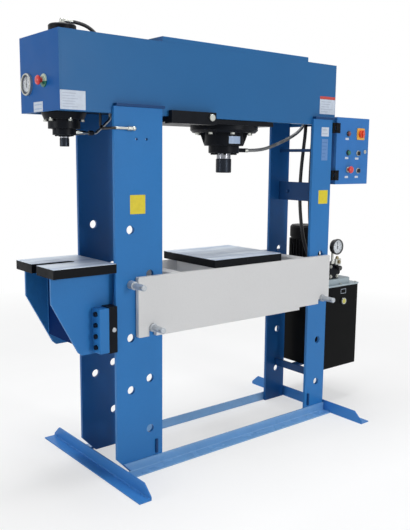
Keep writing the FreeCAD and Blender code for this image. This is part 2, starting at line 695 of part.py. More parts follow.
g0 = MC_GLAND_Z0
gland = [(MC_ROD_R + RUN_FIT, g0), (MC_GLAND_R - 4, g0), (MC_GLAND_R, g0 + 4)]
gland += [(MC_GLAND_R, MC_BODY_Z0), (MC_BORE_R - RUN_FIT, MC_BODY_Z0)]
gland += [(MC_BORE_R - RUN_FIT, MC_BODY_Z0 + 55), (MC_ROD_R + RUN_FIT, MC_BODY_Z0 + 55)]
main_gland = turned(gland, MC_X, MC_Y)

port_face = MC_X + MC_GLAND_R - 3
port = hexagon(port_face, MC_Y, PORT_Z, PORT_R, PORT_NUT, "X")
port = port.cut(rod_z(MC_X, MC_Y, PORT_Z - 2 * PORT_R, PORT_Z + 2 * PORT_R, MC_GLAND_R))
port = port.fuse(rod_x(MC_Y, PORT_Z, port_face + PORT_NUT - 1, PORT_END_X, PORT_PIPE_R))
port = port.removeSplitter()
put("main_cylinder_gland", main_gland, port)

cap = [(0, MC_TOP - 25), (MC_BORE_R - RUN_FIT, MC_TOP - 25), (MC_BORE_R - RUN_FIT, MC_TOP)]
cap += [(MC_BODY_R, MC_TOP), (MC_BODY_R, MC_TOP + MC_CAP_H - 4), (MC_BODY_R - 4, MC_TOP + MC_CAP_H)]
cap += [(0, MC_TOP + MC_CAP_H)]
put("main_cylinder_cap", turned(cap, MC_X, MC_Y))

p0 = MC_PISTON_Z[0]
p1 = MC_PISTON_Z[1]
pm = (p0 + p1) / 2.0
pr = MC_BORE_R - 0.1
ram = [(0, MC_HEAD_Z[0] + 36), (22, MC_HEAD_Z[0] + 36), (22, MC_HEAD_Z[1])]
ram += [(MC_ROD_R, MC_HEAD_Z[1]), (MC_ROD_R, p0), (pr, p0), (pr, pm - 6), (pr - 6, pm - 6)]
ram += [(pr - 6, pm + 6), (pr, pm + 6), (pr, p1), (0, p1)]
put("main_ram", turned(ram, MC_X, MC_Y))
seal = [(pr - 6, pm - 6), (MC_BORE_R - RUN_FIT, pm - 6), (MC_BORE_R - RUN_FIT, pm + 6), (pr - 6, pm + 6)]
put("main_piston_seal", turned(seal, MC_X, MC_Y))
h0 = MC_HEAD_Z[0]
h1 = MC_HEAD_Z[1]
head = [(0, h0), (MC_HEAD_R - 3, h0), (MC_HEAD_R, h0 + 3), (MC_HEAD_R, h1 - 3), (MC_HEAD_R - 3, h1)]
head += [(22 + RUN_FIT, h1), (22 + RUN_FIT, h0 + 36 - RUN_FIT), (0, h0 + 36 - RUN_FIT)]
put("main_ram_head", turned(head, MC_X, MC_Y))

# carriage: plate under the beam, cheek in front of it, lugs up through the slot
carriage = box(CAR_X0, CAR_X1, CAR_Y0, BEAM_D - CAR_Y0, CAR_Z[0], CAR_Z[1])
carriage = fillet_along(carriage, "Z", 14.0)
carriage = carriage.fuse(box(CHEEK_X0, CHEEK_X1, CHEEK_Y0, CAR_Y0 + 20, CHEEK_Z[0], CAR_Z[1]))
carriage = carriage.fuse(box(CHEEK_X0, CHEEK_X1, CHEEK_Y0, CHEEK_Y1, CAR_Z[1], CHEEK_Z[1]))
carriage = carriage.cut(rod_z(MC_X, MC_Y, CAR_Z[0] - 1, CAR_Z[1] + 1, MC_BODY_R + HOLE_FIT))
axle_z = BEAM_Z + BEAM_FLANGE_T + WHEEL_R + SEAT
for side in (-1, 1):
    ax = MC_X + side * AXLE_OFF
    for y0 in (CAR_LUG_Y[0], BEAM_D - CAR_LUG_Y[1]):
        lug = box(ax - CAR_LUG_W / 2, ax + CAR_LUG_W / 2, y0, y0 + CAR_LUG_Y[1] - CAR_LUG_Y[0],
                  CAR_Z[1] - 1, CAR_LUG_TOP)
        lug = fillet_along(lug, "Y", 14.0, lambda c: c.z > CAR_LUG_TOP - 1)
        carriage = carriage.fuse(lug)
    carriage = carriage.cut(rod_y(ax, axle_z, 0, BEAM_D, AXLE_R + RUN_FIT))
put("main_carriage", carriage.removeSplitter())

for side, name in ((-1, "carriage_wheels_left"), (1, "carriage_wheels_right")):
    ax = MC_X + side * AXLE_OFF
    y0 = WHEEL_Y0
    y1 = WHEEL_Y0 + WHEEL_W
    prof = [(0, y0 - 2), (AXLE_R, y0 - 2), (AXLE_R, y0), (WHEEL_R - 2, y0), (WHEEL_R, y0 + 2)]
    prof += [(WHEEL_R, y1 - 2), (WHEEL_R - 2, y1), (AXLE_R, y1)]
    prof += [(AXLE_R, BEAM_D - y1), (WHEEL_R - 2, BEAM_D - y1), (WHEEL_R, BEAM_D - y1 + 2)]
    prof += [(WHEEL_R, BEAM_D - y0 - 2), (WHEEL_R - 2, BEAM_D - y0), (AXLE_R, BEAM_D - y0)]
    prof += [(AXLE_R, BEAM_D - y0 + 2), (0, BEAM_D - y0 + 2)]
    put(name, turned_y(prof, ax, axle_z))

# ---------------------------------------------------------------- bed
PIN_Z = COL_B_Z + 2 * PITCH
bl = COL_B_X
br = COL_R_X
nr = NOTCH_R
outline = [(BED_X0, BED_LOW + 3), (bl - nr, BED_LOW + 3), (bl - nr, PIN_Z), (bl + nr, PIN_Z)]
outline += [(bl + nr, BED_LOW), (BED_STEP_X[0], BED_LOW - 4), (BED_STEP_X[0], BED_STEP_Z[0])]
outline += [(BED_STEP_X[1], BED_STEP_Z[0]), (BED_STEP_X[1], BED_STEP_Z[1]), (br - nr, BED_STEP_Z[1])]
outline += [(br - nr, PIN_Z), (br + nr, PIN_Z), (br + nr, BED_STEP_Z[1]), (BED_X1, BED_STEP_Z[1])]
outline += [(BED_X1, BED_TOP), (BED_X0, BED_TOP)]
fy1 = -PLATE_T - BED_CLEAR
panel = slab(outline, "Y", fy1 - BED_T, fy1)
panel = panel.cut(rod_y(bl, PIN_Z, fy1 - BED_T - 1, fy1 + 1, nr))
panel = panel.cut(rod_y(br, PIN_Z, fy1 - BED_T - 1, fy1 + 1, nr))


def panel_corner(c):
    return (c.x < BED_X0 + 1 or c.x > BED_X1 - 1) and (c.z > BED_TOP - 1 or c.z < BED_STEP_Z[1] + 1)


panel = fillet_along(panel, "Y", 6.0, panel_corner)
put("bed_front_plate", panel)
put("bed_rear_plate", mirror_y(panel, MID_Y))

crosses = []
for k, cx in enumerate(CROSS_X):
    z0c = BED_TOP - CROSS_H
    outer = box(cx, cx + CROSS_W, fy1, GAP_Y - fy1, z0c, BED_TOP)
    outer = fillet_along(outer, "Y", 10.0)
    inner = box(cx + CROSS_T, cx + CROSS_W - CROSS_T, fy1 - 1, GAP_Y - fy1 + 1,
                z0c + CROSS_T, BED_TOP - CROSS_T)
    crosses.append(outer.cut(inner))
put("bed_cross_beams", *crosses)

tables = []
for x0, x1 in ((TABLE_X0, TABLE_SEAM - 0.5), (TABLE_SEAM + 0.5, TABLE_X1)):
    plate = box(x0, x1, TABLE_Y[0], TABLE_Y[1], BED_TOP, BED_TOP + TABLE_T)
    top = [e for e in plate.Edges if e.BoundBox.ZMin > BED_TOP + TABLE_T - 0.1]
    plate = plate.makeChamfer(TABLE_CHAMFER, top)
    tables.append(plate)
put("bed_table_plates", *tables)

# ---------------------------------------------------------------- side table
ty0 = MID_Y - ST_HALF
ty1 = MID_Y + ST_HALF
st_low = ST_TOP - ST_T
table = box(ST_X0, ST_X1, ty0, ty1, st_low, ST_TOP)
slot_r = ST_SLOT_W / 2.0
slot = box(ST_X0 - 1, ST_SLOT_X1 - slot_r, MID_Y - slot_r, MID_Y + slot_r, st_low - 1, ST_TOP + 1)
slot = slot.fuse(rod_z(ST_SLOT_X1 - slot_r, MID_Y, st_low - 1, ST_TOP + 1, slot_r))
table = table.cut(slot.removeSplitter())
top = [e for e in table.Edges if e.BoundBox.ZMin > ST_TOP - 0.1]
table = table.makeChamfer(1.5, top)
put("side_table_plate", table)

gusset_outline = [(GUSSET_X0, st_low), (GUSSET_X0, GUSSET_KNEE_Z), GUSSET_TOE[0], GUSSET_TOE[1]]
gusset_outline += [(GUSSET_X1, GUSSET_TOE[1][1]), (GUSSET_X1, st_low)]
gusset = slab(gusset_outline, "Y", GUSSET_Y, GUSSET_Y + GUSSET_T)
gusset = gusset.cut(rod_y(GUIDE_X, GUIDE_Z, GUSSET_Y - 1, GUSSET_Y + GUSSET_T + 1, GUIDE_AXLE_R + 2))
hook_y0 = GUSSET_Y + GUSSET_T
side_pin_z = COL_A_Z + 2 * PITCH
hook = box(HOOK_X0, HOOK_X1, hook_y0, hook_y0 + HOOK_T, HOOK_Z[0], HOOK_Z[1])
hook = fillet_along(hook, "Y", 12.0, lambda c: c.x > HOOK_X1 - 1)
hook_r = PIN_R + SEAT
hook = hook.cut(box(COL_A_X - hook_r, COL_A_X + hook_r, hook_y0 - 1, hook_y0 + HOOK_T + 1,
                    HOOK_Z[0] - 1, side_pin_z))
hook = hook.cut(rod_y(COL_A_X, side_pin_z, hook_y0 - 1, hook_y0 + HOOK_T + 1, hook_r))
bar = box(BAR_X[0], BAR_X[1], BAR_Y0, GUSSET_Y, BAR_Z[0], BAR_Z[1])
bar = fillet_along(bar, "Z", 3.0, lambda c: c.y < BAR_Y0 + 1 and c.x < BAR_X[0] + 1)
for z in BOLT_Z:
    bar = bar.cut(rod_x(BOLT_Y, z, BAR_X[0] - 1, BAR_X[1] + 1, BOLT_R + HOLE_FIT))
half = gusset.fuse(hook).fuse(bar)
web = box(WEB_X, WEB_X + WEB_T, GUSSET_Y + GUSSET_T, GAP_Y - GUSSET_Y - GUSSET_T, WEB_Z0, st_low)
bracket = half.fuse(mirror_y(half, MID_Y)).fuse(web)
put("side_table_bracket", bracket.removeSplitter())

blocks = []
bolts = []
block = box(BAR_X[1], BLOCK_X1, BAR_Y0, BLOCK_Y1, BLOCK_Z[0], BLOCK_Z[1])
block = fillet_along(block, "Z", 3.0, lambda c: c.y < BAR_Y0 + 1)
wheel_y0 = -PLATE_T / 2.0 - GUIDE_W / 2.0
slot_g = box(BAR_X[1] - 1, BLOCK_X1 + 1, wheel_y0 - 1, wheel_y0 + GUIDE_W + 1,
             GUIDE_Z - GUIDE_R - 3, GUIDE_Z + GUIDE_R + 3)
block = block.cut(slot_g)
block = block.cut(rod_y(GUIDE_X, GUIDE_Z, BAR_Y0 - 1, BLOCK_Y1 + 1, GUIDE_AXLE_R + RUN_FIT))
for z in BOLT_Z:
    block = block.cut(rod_x(BOLT_Y, z, BAR_X[1] - 1, BAR_X[1] + BOLT_GRIP + 2, BOLT_R + HOLE_FIT))
    bolt = hexagon(BAR_X[0] - BOLT_HEAD_T, BOLT_Y, z, BOLT_HEAD_R, BOLT_HEAD_T, "X")
    bolt = bolt.fuse(rod_x(BOLT_Y, z, BAR_X[0], BAR_X[1] + BOLT_GRIP, BOLT_R)).removeSplitter()
    bolts.append(bolt)
    bolts.append(mirror_y(bolt, MID_Y))
put("guide_blocks", block, mirror_y(block, MID_Y))
put("guide_block_bolts", *bolts)

w0 = wheel_y0
w1 = wheel_y0 + GUIDE_W
ar = GUIDE_AXLE_R
e0 = BAR_Y0 - 4
span = GAP_Y
prof = [(0, e0), (ar - 2, e0), (ar, e0 + 2), (ar, w0), (GUIDE_R, w0), (GUIDE_R, w1), (ar, w1)]
prof += [(ar, span - w1), (GUIDE_R, span - w1), (GUIDE_R, span - w0), (ar, span - w0)]
prof += [(ar, span - e0 - 2), (ar - 2, span - e0), (0, span - e0)]
put("guide_wheels", turned_y(prof, GUIDE_X, GUIDE_Z))

# ---------------------------------------------------------------- locking pins


def pin(name, x, z):
    y0 = -PIN_OUT
    y1 = GAP_Y + PLATE_T + PIN_BACK
    g = y0 - PIN_GRIP
    c = PIN_CHAMFER
    pts = [(0, g), (PIN_GRIP_R - c, g), (PIN_GRIP_R, g + c), (PIN_GRIP_R, y0), (PIN_R - 2, y0)]
    pts += [(PIN_R, y0 + 2), (PIN_R, y1 - c), (PIN_R - c, y1), (0, y1)]
    body = turned_y(pts, x, z)
    cross = rod_x(g + 16, z, x - PIN_GRIP_R - 1, x + PIN_GRIP_R + 1, 4.5)
    put(name, body.cut(cross))


pin("bed_pin_left", COL_B_X, PIN_Z)
pin("bed_pin_right", COL_R_X, PIN_Z)
pin("side_table_pin", COL_A_X, side_pin_z)

# ---------------------------------------------------------------- switch cabinet
s = CAB_SHEET
cz0 = CAB_Z[0]
cz1 = CAB_Z[1]
seam = CAB_FRONT + DOOR_D
case = box(CAB_X0, CAB_X1, seam + SEAT, CAB_D, cz0, cz1)
case = fillet_along(case, "Z", 4.0, lambda c: c.y > CAB_D - 1)
case = case.cut(box(CAB_X0 + s, CAB_X1 - s, seam - 1, CAB_D - s, cz0 + s, cz1 - s))
lock_hole = box(CAB_X1 - s - 14, CAB_X1 - s, seam + SEAT, seam + 4, LOCK_XZ[1] - 26, LOCK_XZ[1] + 26)
case = case.fuse(lock_hole).removeSplitter()
knuckles = []
hx = CAB_X0 - HINGE_R - 1.0
hy = CAB_FRONT - 1.0
for z in HINGE_Z:
    leaf = box(hx - 25, hx - 2, CAB_FRONT, 0, z - HINGE_H / 2, z + HINGE_H / 2)
    leaf = fillet_along(leaf, "Z", 2.0, lambda c: c.y < CAB_FRONT + 1 and c.x < hx - 20)
    leaf = leaf.fuse(rod_z(hx, hy, z - HINGE_H / 2, z - HINGE_H / 6 - SEAT, HINGE_R))
    leaf = leaf.fuse(rod_z(hx, hy, z + HINGE_H / 6 + SEAT, z + HINGE_H / 2, HINGE_R))
    ring = box(hx - 9, hx + 9, hy - 9, seam + 1.5, z - HINGE_H / 6 - SEAT, z + HINGE_H / 6 + SEAT)
    leaf = leaf.cut(ring)
    leaf = leaf.fuse(rod_z(hx, hy, z - HINGE_H / 2, z + HINGE_H / 2, 2.5))
    knuckles.append(leaf.removeSplitter())
put("cabinet_case", case, *knuckles)

door = box(CAB_X0, CAB_X1, CAB_FRONT, seam, cz0, cz1)
door = fillet_along(door, "Z", 4.0, lambda c: c.y < CAB_FRONT + 1)
door = door.cut(box(CAB_X0 + s, CAB_X1 - s, CAB_FRONT + s, seam + 1, cz0 + s, cz1 - s))
for z in HINGE_Z:
    leaf = box(hx, CAB_X0 + 22, hy - 3, CAB_FRONT, z - HINGE_H / 6, z + HINGE_H / 6)
    leaf = leaf.fuse(rod_z(hx, hy, z - HINGE_H / 6, z + HINGE_H / 6, HINGE_R))
    pad = box(CAB_X0 + 1, CAB_X0 + 24, CAB_FRONT - 4, CAB_FRONT, z - HINGE_H / 2, z + HINGE_H / 2)
    leaf = leaf.fuse(pad)
    leaf = leaf.cut(rod_z(hx, hy, z - HINGE_H, z + HINGE_H, 2.5 + RUN_FIT))
    door = door.fuse(leaf)
stem_hole = STEM_R + HOLE_FIT
for cx, cz in (SWITCH_XZ, START_XZ, SEL1_XZ, SEL2_XZ, STOP_XZ):
    door = door.cut(rod_y(cx, cz, CAB_FRONT - 1, CAB_FRONT + s + 1, stem_hole))
lock_r = 8.0
door = door.cut(rod_y(LOCK_XZ[0], LOCK_XZ[1], CAB_FRONT - 1, CAB_FRONT + s + 1, lock_r + RUN_FIT))
put("cabinet_door", door.removeSplitter())

trim = []
half_p = SWITCH_PLATE / 2.0
plate = box(SWITCH_XZ[0] - half_p, SWITCH_XZ[0] + half_p, CAB_FRONT - 4, CAB_FRONT,
            SWITCH_XZ[1] - half_p, SWITCH_XZ[1] + half_p)
plate = fillet_along(plate, "Y", 5.0)
trim.append(plate.cut(rod_y(SWITCH_XZ[0], SWITCH_XZ[1], CAB_FRONT - 5, CAB_FRONT + 1, stem_hole)))
for cx, cz in (START_XZ, SEL1_XZ, SEL2_XZ, STOP_XZ):
    ring = [(stem_hole, CAB_FRONT), (BEZEL_R, CAB_FRONT), (BEZEL_R, CAB_FRONT - 3)]
    ring += [(BEZEL_R - 2, CAB_FRONT - 5), (BUTTON_R + 1, CAB_FRONT - 5), (BUTTON_R + 1, CAB_FRONT - 2)]
    ring += [(stem_hole, CAB_FRONT - 2)]
    trim.append(turned_y(ring, cx, cz))
lamp = [(0, CAB_FRONT), (BEZEL_R, CAB_FRONT), (BEZEL_R, CAB_FRONT - 5), (BUTTON_R, CAB_FRONT - 5)]
lamp += [(BUTTON_R, CAB_FRONT - 9), (BUTTON_R - 5, CAB_FRONT - 13), (0, CAB_FRONT - 14)]
trim.append(turned_y(lamp, LAMP_XZ[0], LAMP_XZ[1]))
put("door_control_rings", *trim)


def knob(name, cx, cz, r, bar_w, out, stand):
    """A turned knob with a raised grip bar across it, on a stem through the door."""
    f = CAB_FRONT - stand
    pts = [(0, CAB_FRONT + s + 6), (STEM_R, CAB_FRONT + s + 6), (STEM_R, f), (r, f)]
    pts += [(r, f - out * 0.5), (r - 2, f - out * 0.5 - 2), (0, f - out * 0.5 - 2)]
    body = turned_y(pts, cx, cz)
    grip = box(cx - bar_w / 2, cx + bar_w / 2, f - out, f - 1, cz - r + 0.5, cz + r - 0.5)
    grip = fillet_along(grip, "Z", bar_w * 0.3, lambda c: c.y < f - out + 1)
    grip = grip.common(rod_y(cx, cz, f - out - 1, f, r - 0.2))
    put(name, body.fuse(grip).removeSplitter())


knob("main_switch_knob", SWITCH_XZ[0], SWITCH_XZ[1], 22.0, 13.0, 24.0, 4.0 + SEAT)
knob("mode_selector", SEL1_XZ[0], SEL1_XZ[1], BUTTON_R - 0.5, 7.0, 16.0, 2.0 + SEAT)
knob("station_selector", SEL2_XZ[0], SEL2_XZ[1], BUTTON_R - 0.5, 7.0, 16.0, 2.0 + SEAT)

f = CAB_FRONT - 4.0
pts = [(0, CAB_FRONT + s + 8), (STEM_R, CAB_FRONT + s + 8), (STEM_R, f - 3), (BUTTON_R, f - 3)]
pts += [(BUTTON_R, f - 8), (BUTTON_R - 1.5, f - 9.5), (0, f - 9.5)]
put("start_button", turned_y(pts, START_XZ[0], START_XZ[1]))

mr = MUSHROOM_R
pts = [(0, CAB_FRONT + s + 8), (STEM_R, CAB_FRONT + s + 8), (STEM_R, f - 8), (mr - 6, f - 10)]
pts += [(mr, f - 16), (mr, f - 20), (mr - 4, f - 25), (mr - 11, f - 28), (0, f - 29)]
put("cabinet_stop_button", turned_y(pts, STOP_XZ[0], STOP_XZ[1]))

pts = [(0, CAB_FRONT - 3), (lock_r + 3, CAB_FRONT - 3), (lock_r + 3, CAB_FRONT - SEAT)]
pts += [(lock_r, CAB_FRONT - SEAT), (lock_r, CAB_FRONT + 13), (0, CAB_FRONT + 13)]
lock = turned_y(pts, LOCK_XZ[0], LOCK_XZ[1])
lock = lock.cut(box(LOCK_XZ[0] - 1.2, LOCK_XZ[0] + 1.2, CAB_FRONT - 4, CAB_FRONT + 4,
                    LOCK_XZ[1] - 5, LOCK_XZ[1] + 5))
tail_y = CAB_FRONT + 13
tail = box(LOCK_XZ[0] - 7, LOCK_XZ[0] + 7, tail_y, tail_y + 2, LOCK_XZ[1] - 22, LOCK_XZ[1] + 7)
put("door_lock", lock.fuse(tail).removeSplitter())

# ---------------------------------------------------------------- beam end gauge and button


def gauge_profile(front, bezel_r, body_r, deep):
    """Open-faced gauge case: rolled bezel, dial recess and body, front first."""
    g = [(0, front + 9), (bezel_r - 7, front + 9), (bezel_r - 7, front + 1), (bezel_r - 6, front)]
    g += [(bezel_r - 2, front), (bezel_r, front + 3), (bezel_r, front + 14)]
    g += [(body_r, front + 14), (body_r, front + deep), (0, front + deep)]
    return g


case = gauge_profile(GAUGE_FRONT, GAUGE_BEZEL_R, GAUGE_BODY_R, GAUGE_DEEP)
beam_gauge = turned_x(case, GAUGE_Y, GAUGE_Z)


def needle_outline(r):
    return [(-3.2, -14), (3.2, -14), (2.0, 4), (0.7, r), (-0.7, r), (-2.0, 4)]


pts = [(GAUGE_Y + p[0], GAUGE_Z + p[1]) for p in needle_outline(32.0)]
nx = GAUGE_FRONT + 5.4
needle = slab(pts, "X", nx, nx + 1.2)
needle = needle.fuse(rod_x(GAUGE_Y, GAUGE_Z, nx - 0.8, GAUGE_FRONT + 8.7, 4.5)).removeSplitter()
put("beam_gauge_needle", needle)

srt = STOP_RING_T
ring = [(STEM_R + HOLE_FIT, 0), (STOP_RING_R, 0), (STOP_RING_R, 2 - srt), (STOP_RING_R - 2, -srt)]
ring += [(STOP_COLLAR_R, -srt), (STOP_COLLAR_R, -2 * srt), (STEM_R + HOLE_FIT, -2 * srt)]
put("beam_gauge", beam_gauge, turned_x(ring, STOP_Y, STOP_Z))
pts = [(0, 26), (STEM_R, 26), (STEM_R, -18), (mr - 5, -20), (mr, -26), (mr, -30), (mr - 4, -35)]
pts += [(mr - 11, -38), (0, -39)]
put("beam_stop_button", turned_x(pts, STOP_Y, STOP_Z))

# ---------------------------------------------------------------- tank and pump
tx0, tx1 = TANK_X
tq0, tq1 = TANK_Y
tz0, tz1 = TANK_Z
tank = box(tx0, tx1, tq0, tq1, tz0, tz1)
tank = fillet_along(tank, "Z", 8.0)
t = TANK_SHEET
tank = tank.cut(box(tx0 + t, tx1 - t, tq0 + t, tq1 - t, tz0 + t, tz1 + 1))
sight_r = 16.0
sight = [(0, tq0 - 7), (sight_r - 5, tq0 - 7), (sight_r - 4, tq0 - 9), (sight_r - 1, tq0 - 9)]
sight += [(sight_r, tq0 - 7), (sight_r, tq0), (0, tq0)]
put("tank_shell", tank, turned_y(sight, SIGHT_X, SIGHT_Z))

lid_top = tz1 + LID_T
lid = box(tx0 - LID_OVER, tx1 + LID_OVER, tq0 - LID_OVER, tq1 + LID_OVER, tz1, lid_top)
lid = fillet_along(lid, "Z", 10.0)
base = box(BASE_X[0], BASE_X[1], BASE_Y[0], BASE_Y[1], lid_top - 1, lid_top + BASE_H)
base = fillet_along(base, "Z", 18.0)
top_edges = [e for e in base.Edges if e.BoundBox.ZMin > lid_top + BASE_H - 0.1]
base = base.makeFillet(6.0, top_edges)
lid = lid.fuse(base).removeSplitter()
put("tank_lid", lid)

mz0 = lid_top
mo = [(0, mz0), (MOTOR_R + 12, mz0), (MOTOR_R + 12, mz0 + 14), (MOTOR_R - 8, mz0 + 14)]
mo += [(MOTOR_R - 8, mz0 + 30), (MOTOR_R - 4, mz0 + 30), (MOTOR_R - 4, MOTOR_Z1), (0, MOTOR_Z1)]
motor = turned(mo, MOTOR_X, MOTOR_Y)
FINS = 30
for k in range(FINS):
    fin = box(MOTOR_R - 6, MOTOR_R + 5, -1.8, 1.8, mz0 + 34, MOTOR_Z1 - 12)
    fin.rotate(V(0, 0, 0), V(0, 0, 1), 360.0 / FINS * k)
    fin.translate(V(MOTOR_X, MOTOR_Y, 0))
    motor = motor.fuse(fin)
jb = box(MOTOR_X - 40, MOTOR_X + 40, MOTOR_Y - MOTOR_R - 34, MOTOR_Y - 40, mz0 + 90, mz0 + 160)
jb = fillet_along(jb, "Y", 6.0)
motor = motor.fuse(jb)
motor = motor.removeSplitter()
co = [(0, MOTOR_Z1), (MOTOR_R + 2, MOTOR_Z1), (MOTOR_R + 2, COWL_Z1 - 12), (MOTOR_R - 8, COWL_Z1)]
co += [(0, COWL_Z1)]
put("pump_motor", motor, turned(co, MOTOR_X, MOTOR_Y))

vz0 = lid_top + BASE_H
vz1 = vz0 + VALVE_H
valve = box(VALVE_X[0], VALVE_X[1], VALVE_Y[0], VALVE_Y[1], vz0, vz1)
valve = fillet_along(valve, "Z", 4.0)
coil_y = VALVE_Y[1] - COIL_UP
coil_end = VALVE_X[1] + COIL_L
coil = rod_x(coil_y, vz0 + COIL_UP, VALVE_X[1] - 1, coil_end, COIL_R)
coil = coil.fuse(rod_x(coil_y, vz0 + COIL_UP, coil_end - 1, coil_end + COIL_NUT_L, COIL_NUT_R))
for route in (FRONT_ROUTE, REAR_ROUTE):
    valve = valve.fuse(end_piece(route, True, VALVE_FERRULE, 12.0))
valve = valve.fuse(coil).removeSplitter()
stem = rod_z(TG_X, VALVE_Y[0] + 12, vz1, TG_Z - 18, 7.0)
stem = stem.fuse(hexagon(TG_X, VALVE_Y[0] + 12, vz1, 13, 16, "Z"))
stem = stem.fuse(rod_z(TG_X, VALVE_Y[0] + 12, TG_Z - 18, TG_Z + 9, 10.0))
stem = stem.fuse(rod_y(TG_X, TG_Z, TG_FRONT + TG_D, VALVE_Y[0] + 12, 8.0)).removeSplitter()
put("valve_block", valve, stem)
put("tank_gauge", turned_y(gauge_profile(TG_FRONT, TG_R, TG_R - 5, TG_D), TG_X, TG_Z))
pts = [(TG_X + p[0], TG_Z + p[1]) for p in needle_outline(31.0)]
ny = TG_FRONT + 5.4
needle = slab(pts, "Y", ny, ny + 1.2)
needle = needle.fuse(rod_y(TG_X, TG_Z, ny - 0.8, TG_FRONT + 8.7, 4.5)).removeSplitter()
put("tank_gauge_needle", needle)

kx = VALVE_X[1] - 22
kz = vz1 - 24
relief = [(0, VALVE_Y[0] - 36), (13, VALVE_Y[0] - 36), (15, VALVE_Y[0] - 34), (15, VALVE_Y[0] - 14)]
relief += [(6, VALVE_Y[0] - 12), (6, VALVE_Y[0] - SEAT), (0, VALVE_Y[0] - SEAT)]
knob_r = turned_y(relief, kx, kz)
for k in range(12):
    flute = rod_y(15.8, 0, VALVE_Y[0] - 37, VALVE_Y[0] - 13, 2.0)
    flute.rotate(V(0, 0, 0), V(0, 1, 0), 30.0 * k)
    flute.translate(V(kx, 0, kz))
    knob_r = knob_r.cut(flute)
put("relief_valve_knob", knob_r)

# ---------------------------------------------------------------- pipes and hoses
elbow_x = 338.0
pipe_y = -PLATE_T - 18.0
pipe_z = 1599.0


def bent_pipe(points, r, bend):
    """A steel pipe with equal bends, each a quarter arc or less."""
    pts = [V(*p) for p in points]
    edges = []
    start = pts[0]
    for k in range(1, len(pts) - 1):
        ua = (pts[k - 1] - pts[k]).normalize()
        ub = (pts[k + 1] - pts[k]).normalize()
        turn = math.pi - ua.getAngle(ub)
        back = bend * math.tan(turn / 2.0)
        p_in = pts[k] + ua * back
        p_out = pts[k] + ub * back
        bis = (ua + ub).normalize()
        centre = pts[k] + bis * (bend / math.cos(turn / 2.0))
        edges.append(Part.LineSegment(start, p_in).toShape())
        edges.append(Part.Arc(p_in, centre - bis * bend, p_out).toShape())
        start = p_out
    edges.append(Part.LineSegment(start, pts[-1]).toShape())
    wire = Part.Wire(edges)
    ring = Part.Wire([Part.makeCircle(r, pts[0], (pts[1] - pts[0]).normalize())])
    return wire.makePipeShell([ring], True, False)


gy = SC_Y
port_z = 1582.0
pr_x = SC_X + SC_GLAND_R
nut_a = hexagon(pr_x - 1, gy, port_z, 12.0, 22, "X").cut(
    rod_z(SC_X, SC_Y, port_z - 30, port_z + 30, SC_GLAND_R + RUN_FIT))
pipe_a = bent_pipe([(pr_x + 20, gy, port_z), (pr_x + 108, gy, port_z), (PIPE_UP_X, gy, port_z + 66),
                    (PIPE_UP_X, gy, mount_z + MOUNT_T)], PIPE_D / 2.0, 24.0)
nut_b = hexagon(pr_x + 70, gy, port_z, 11.0, 24, "X")
line_a = nut_a.fuse(pipe_a).fuse(nut_b).removeSplitter()
elbow = rod_y(elbow_x, pipe_z, pipe_y, -PLATE_T, 9.0)
elbow = elbow.fuse(Part.makeSphere(11.0, V(elbow_x, pipe_y, pipe_z)))
elbow = elbow.fuse(hexagon(elbow_x - 32, pipe_y, pipe_z, 10.0, 22, "X"))
pipe_b = bent_pipe([(elbow_x, pipe_y, pipe_z), (236, pipe_y, pipe_z), (236, 78, pipe_z),
                    (236, 78, mount_z)], PIPE_D / 2.0, 20.0)
line_b = elbow.fuse(pipe_b).removeSplitter()
tz = SC_TOP + SC_CAP_H
top_fit = hexagon(SC_X, SC_Y, tz, 15.0, 12, "Z")
top_fit = top_fit.fuse(rod_z(SC_X, SC_Y, tz + 11, tz + 24, 10.0))
top_fit = top_fit.fuse(Part.makeSphere(11.0, V(SC_X, SC_Y, tz + 19)))
top_fit = top_fit.fuse(rod_x(SC_Y, tz + 19, SC_X, SC_X + 26, 9.0)).removeSplitter()
put("cylinder_pipes", line_a, line_b, top_fit)

put("side_cylinder_hose", tube("side_cylinder_hose", TOP_ROUTE, TOP_HOSE_D))
put("main_cylinder_hose", tube("main_cylinder_hose", MAIN_ROUTE, MAIN_HOSE_D))
put("pressure_hose", tube("pressure_hose", FRONT_ROUTE, DROP_HOSE_D))
put("return_hose", tube("return_hose", REAR_ROUTE, DROP_HOSE_D))
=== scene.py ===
import bpy
import bmesh
import math
import random
from mathutils import Matrix, Vector


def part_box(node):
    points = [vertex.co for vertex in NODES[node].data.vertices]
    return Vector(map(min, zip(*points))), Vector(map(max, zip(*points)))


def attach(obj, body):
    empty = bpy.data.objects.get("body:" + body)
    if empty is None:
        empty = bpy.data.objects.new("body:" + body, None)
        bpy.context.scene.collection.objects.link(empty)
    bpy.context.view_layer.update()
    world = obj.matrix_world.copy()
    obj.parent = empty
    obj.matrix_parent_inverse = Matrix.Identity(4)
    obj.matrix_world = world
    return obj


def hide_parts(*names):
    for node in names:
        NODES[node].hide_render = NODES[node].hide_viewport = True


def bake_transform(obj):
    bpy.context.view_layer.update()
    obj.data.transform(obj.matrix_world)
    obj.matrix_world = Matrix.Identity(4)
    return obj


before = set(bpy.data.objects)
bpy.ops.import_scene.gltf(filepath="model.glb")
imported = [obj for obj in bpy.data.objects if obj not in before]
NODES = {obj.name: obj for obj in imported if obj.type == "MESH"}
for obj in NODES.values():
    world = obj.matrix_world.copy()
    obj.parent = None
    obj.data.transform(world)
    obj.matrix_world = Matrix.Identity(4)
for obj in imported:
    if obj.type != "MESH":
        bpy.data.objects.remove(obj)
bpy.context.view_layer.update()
random.seed(7)

# ---------------------------------------------------------------- places and sizes
# Points below are written in the drawing frame of the press, in millimetres: X along
# the beam from its left end, Y back from its front face, Z up. at() turns them into
# the row frame, in metres.
MM = 0.001
BEAM_LOW, BEAM_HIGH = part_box("beam_box")
BEAM_LEFT = BEAM_LOW.x
BEAM_FACE = BEAM_LOW.y


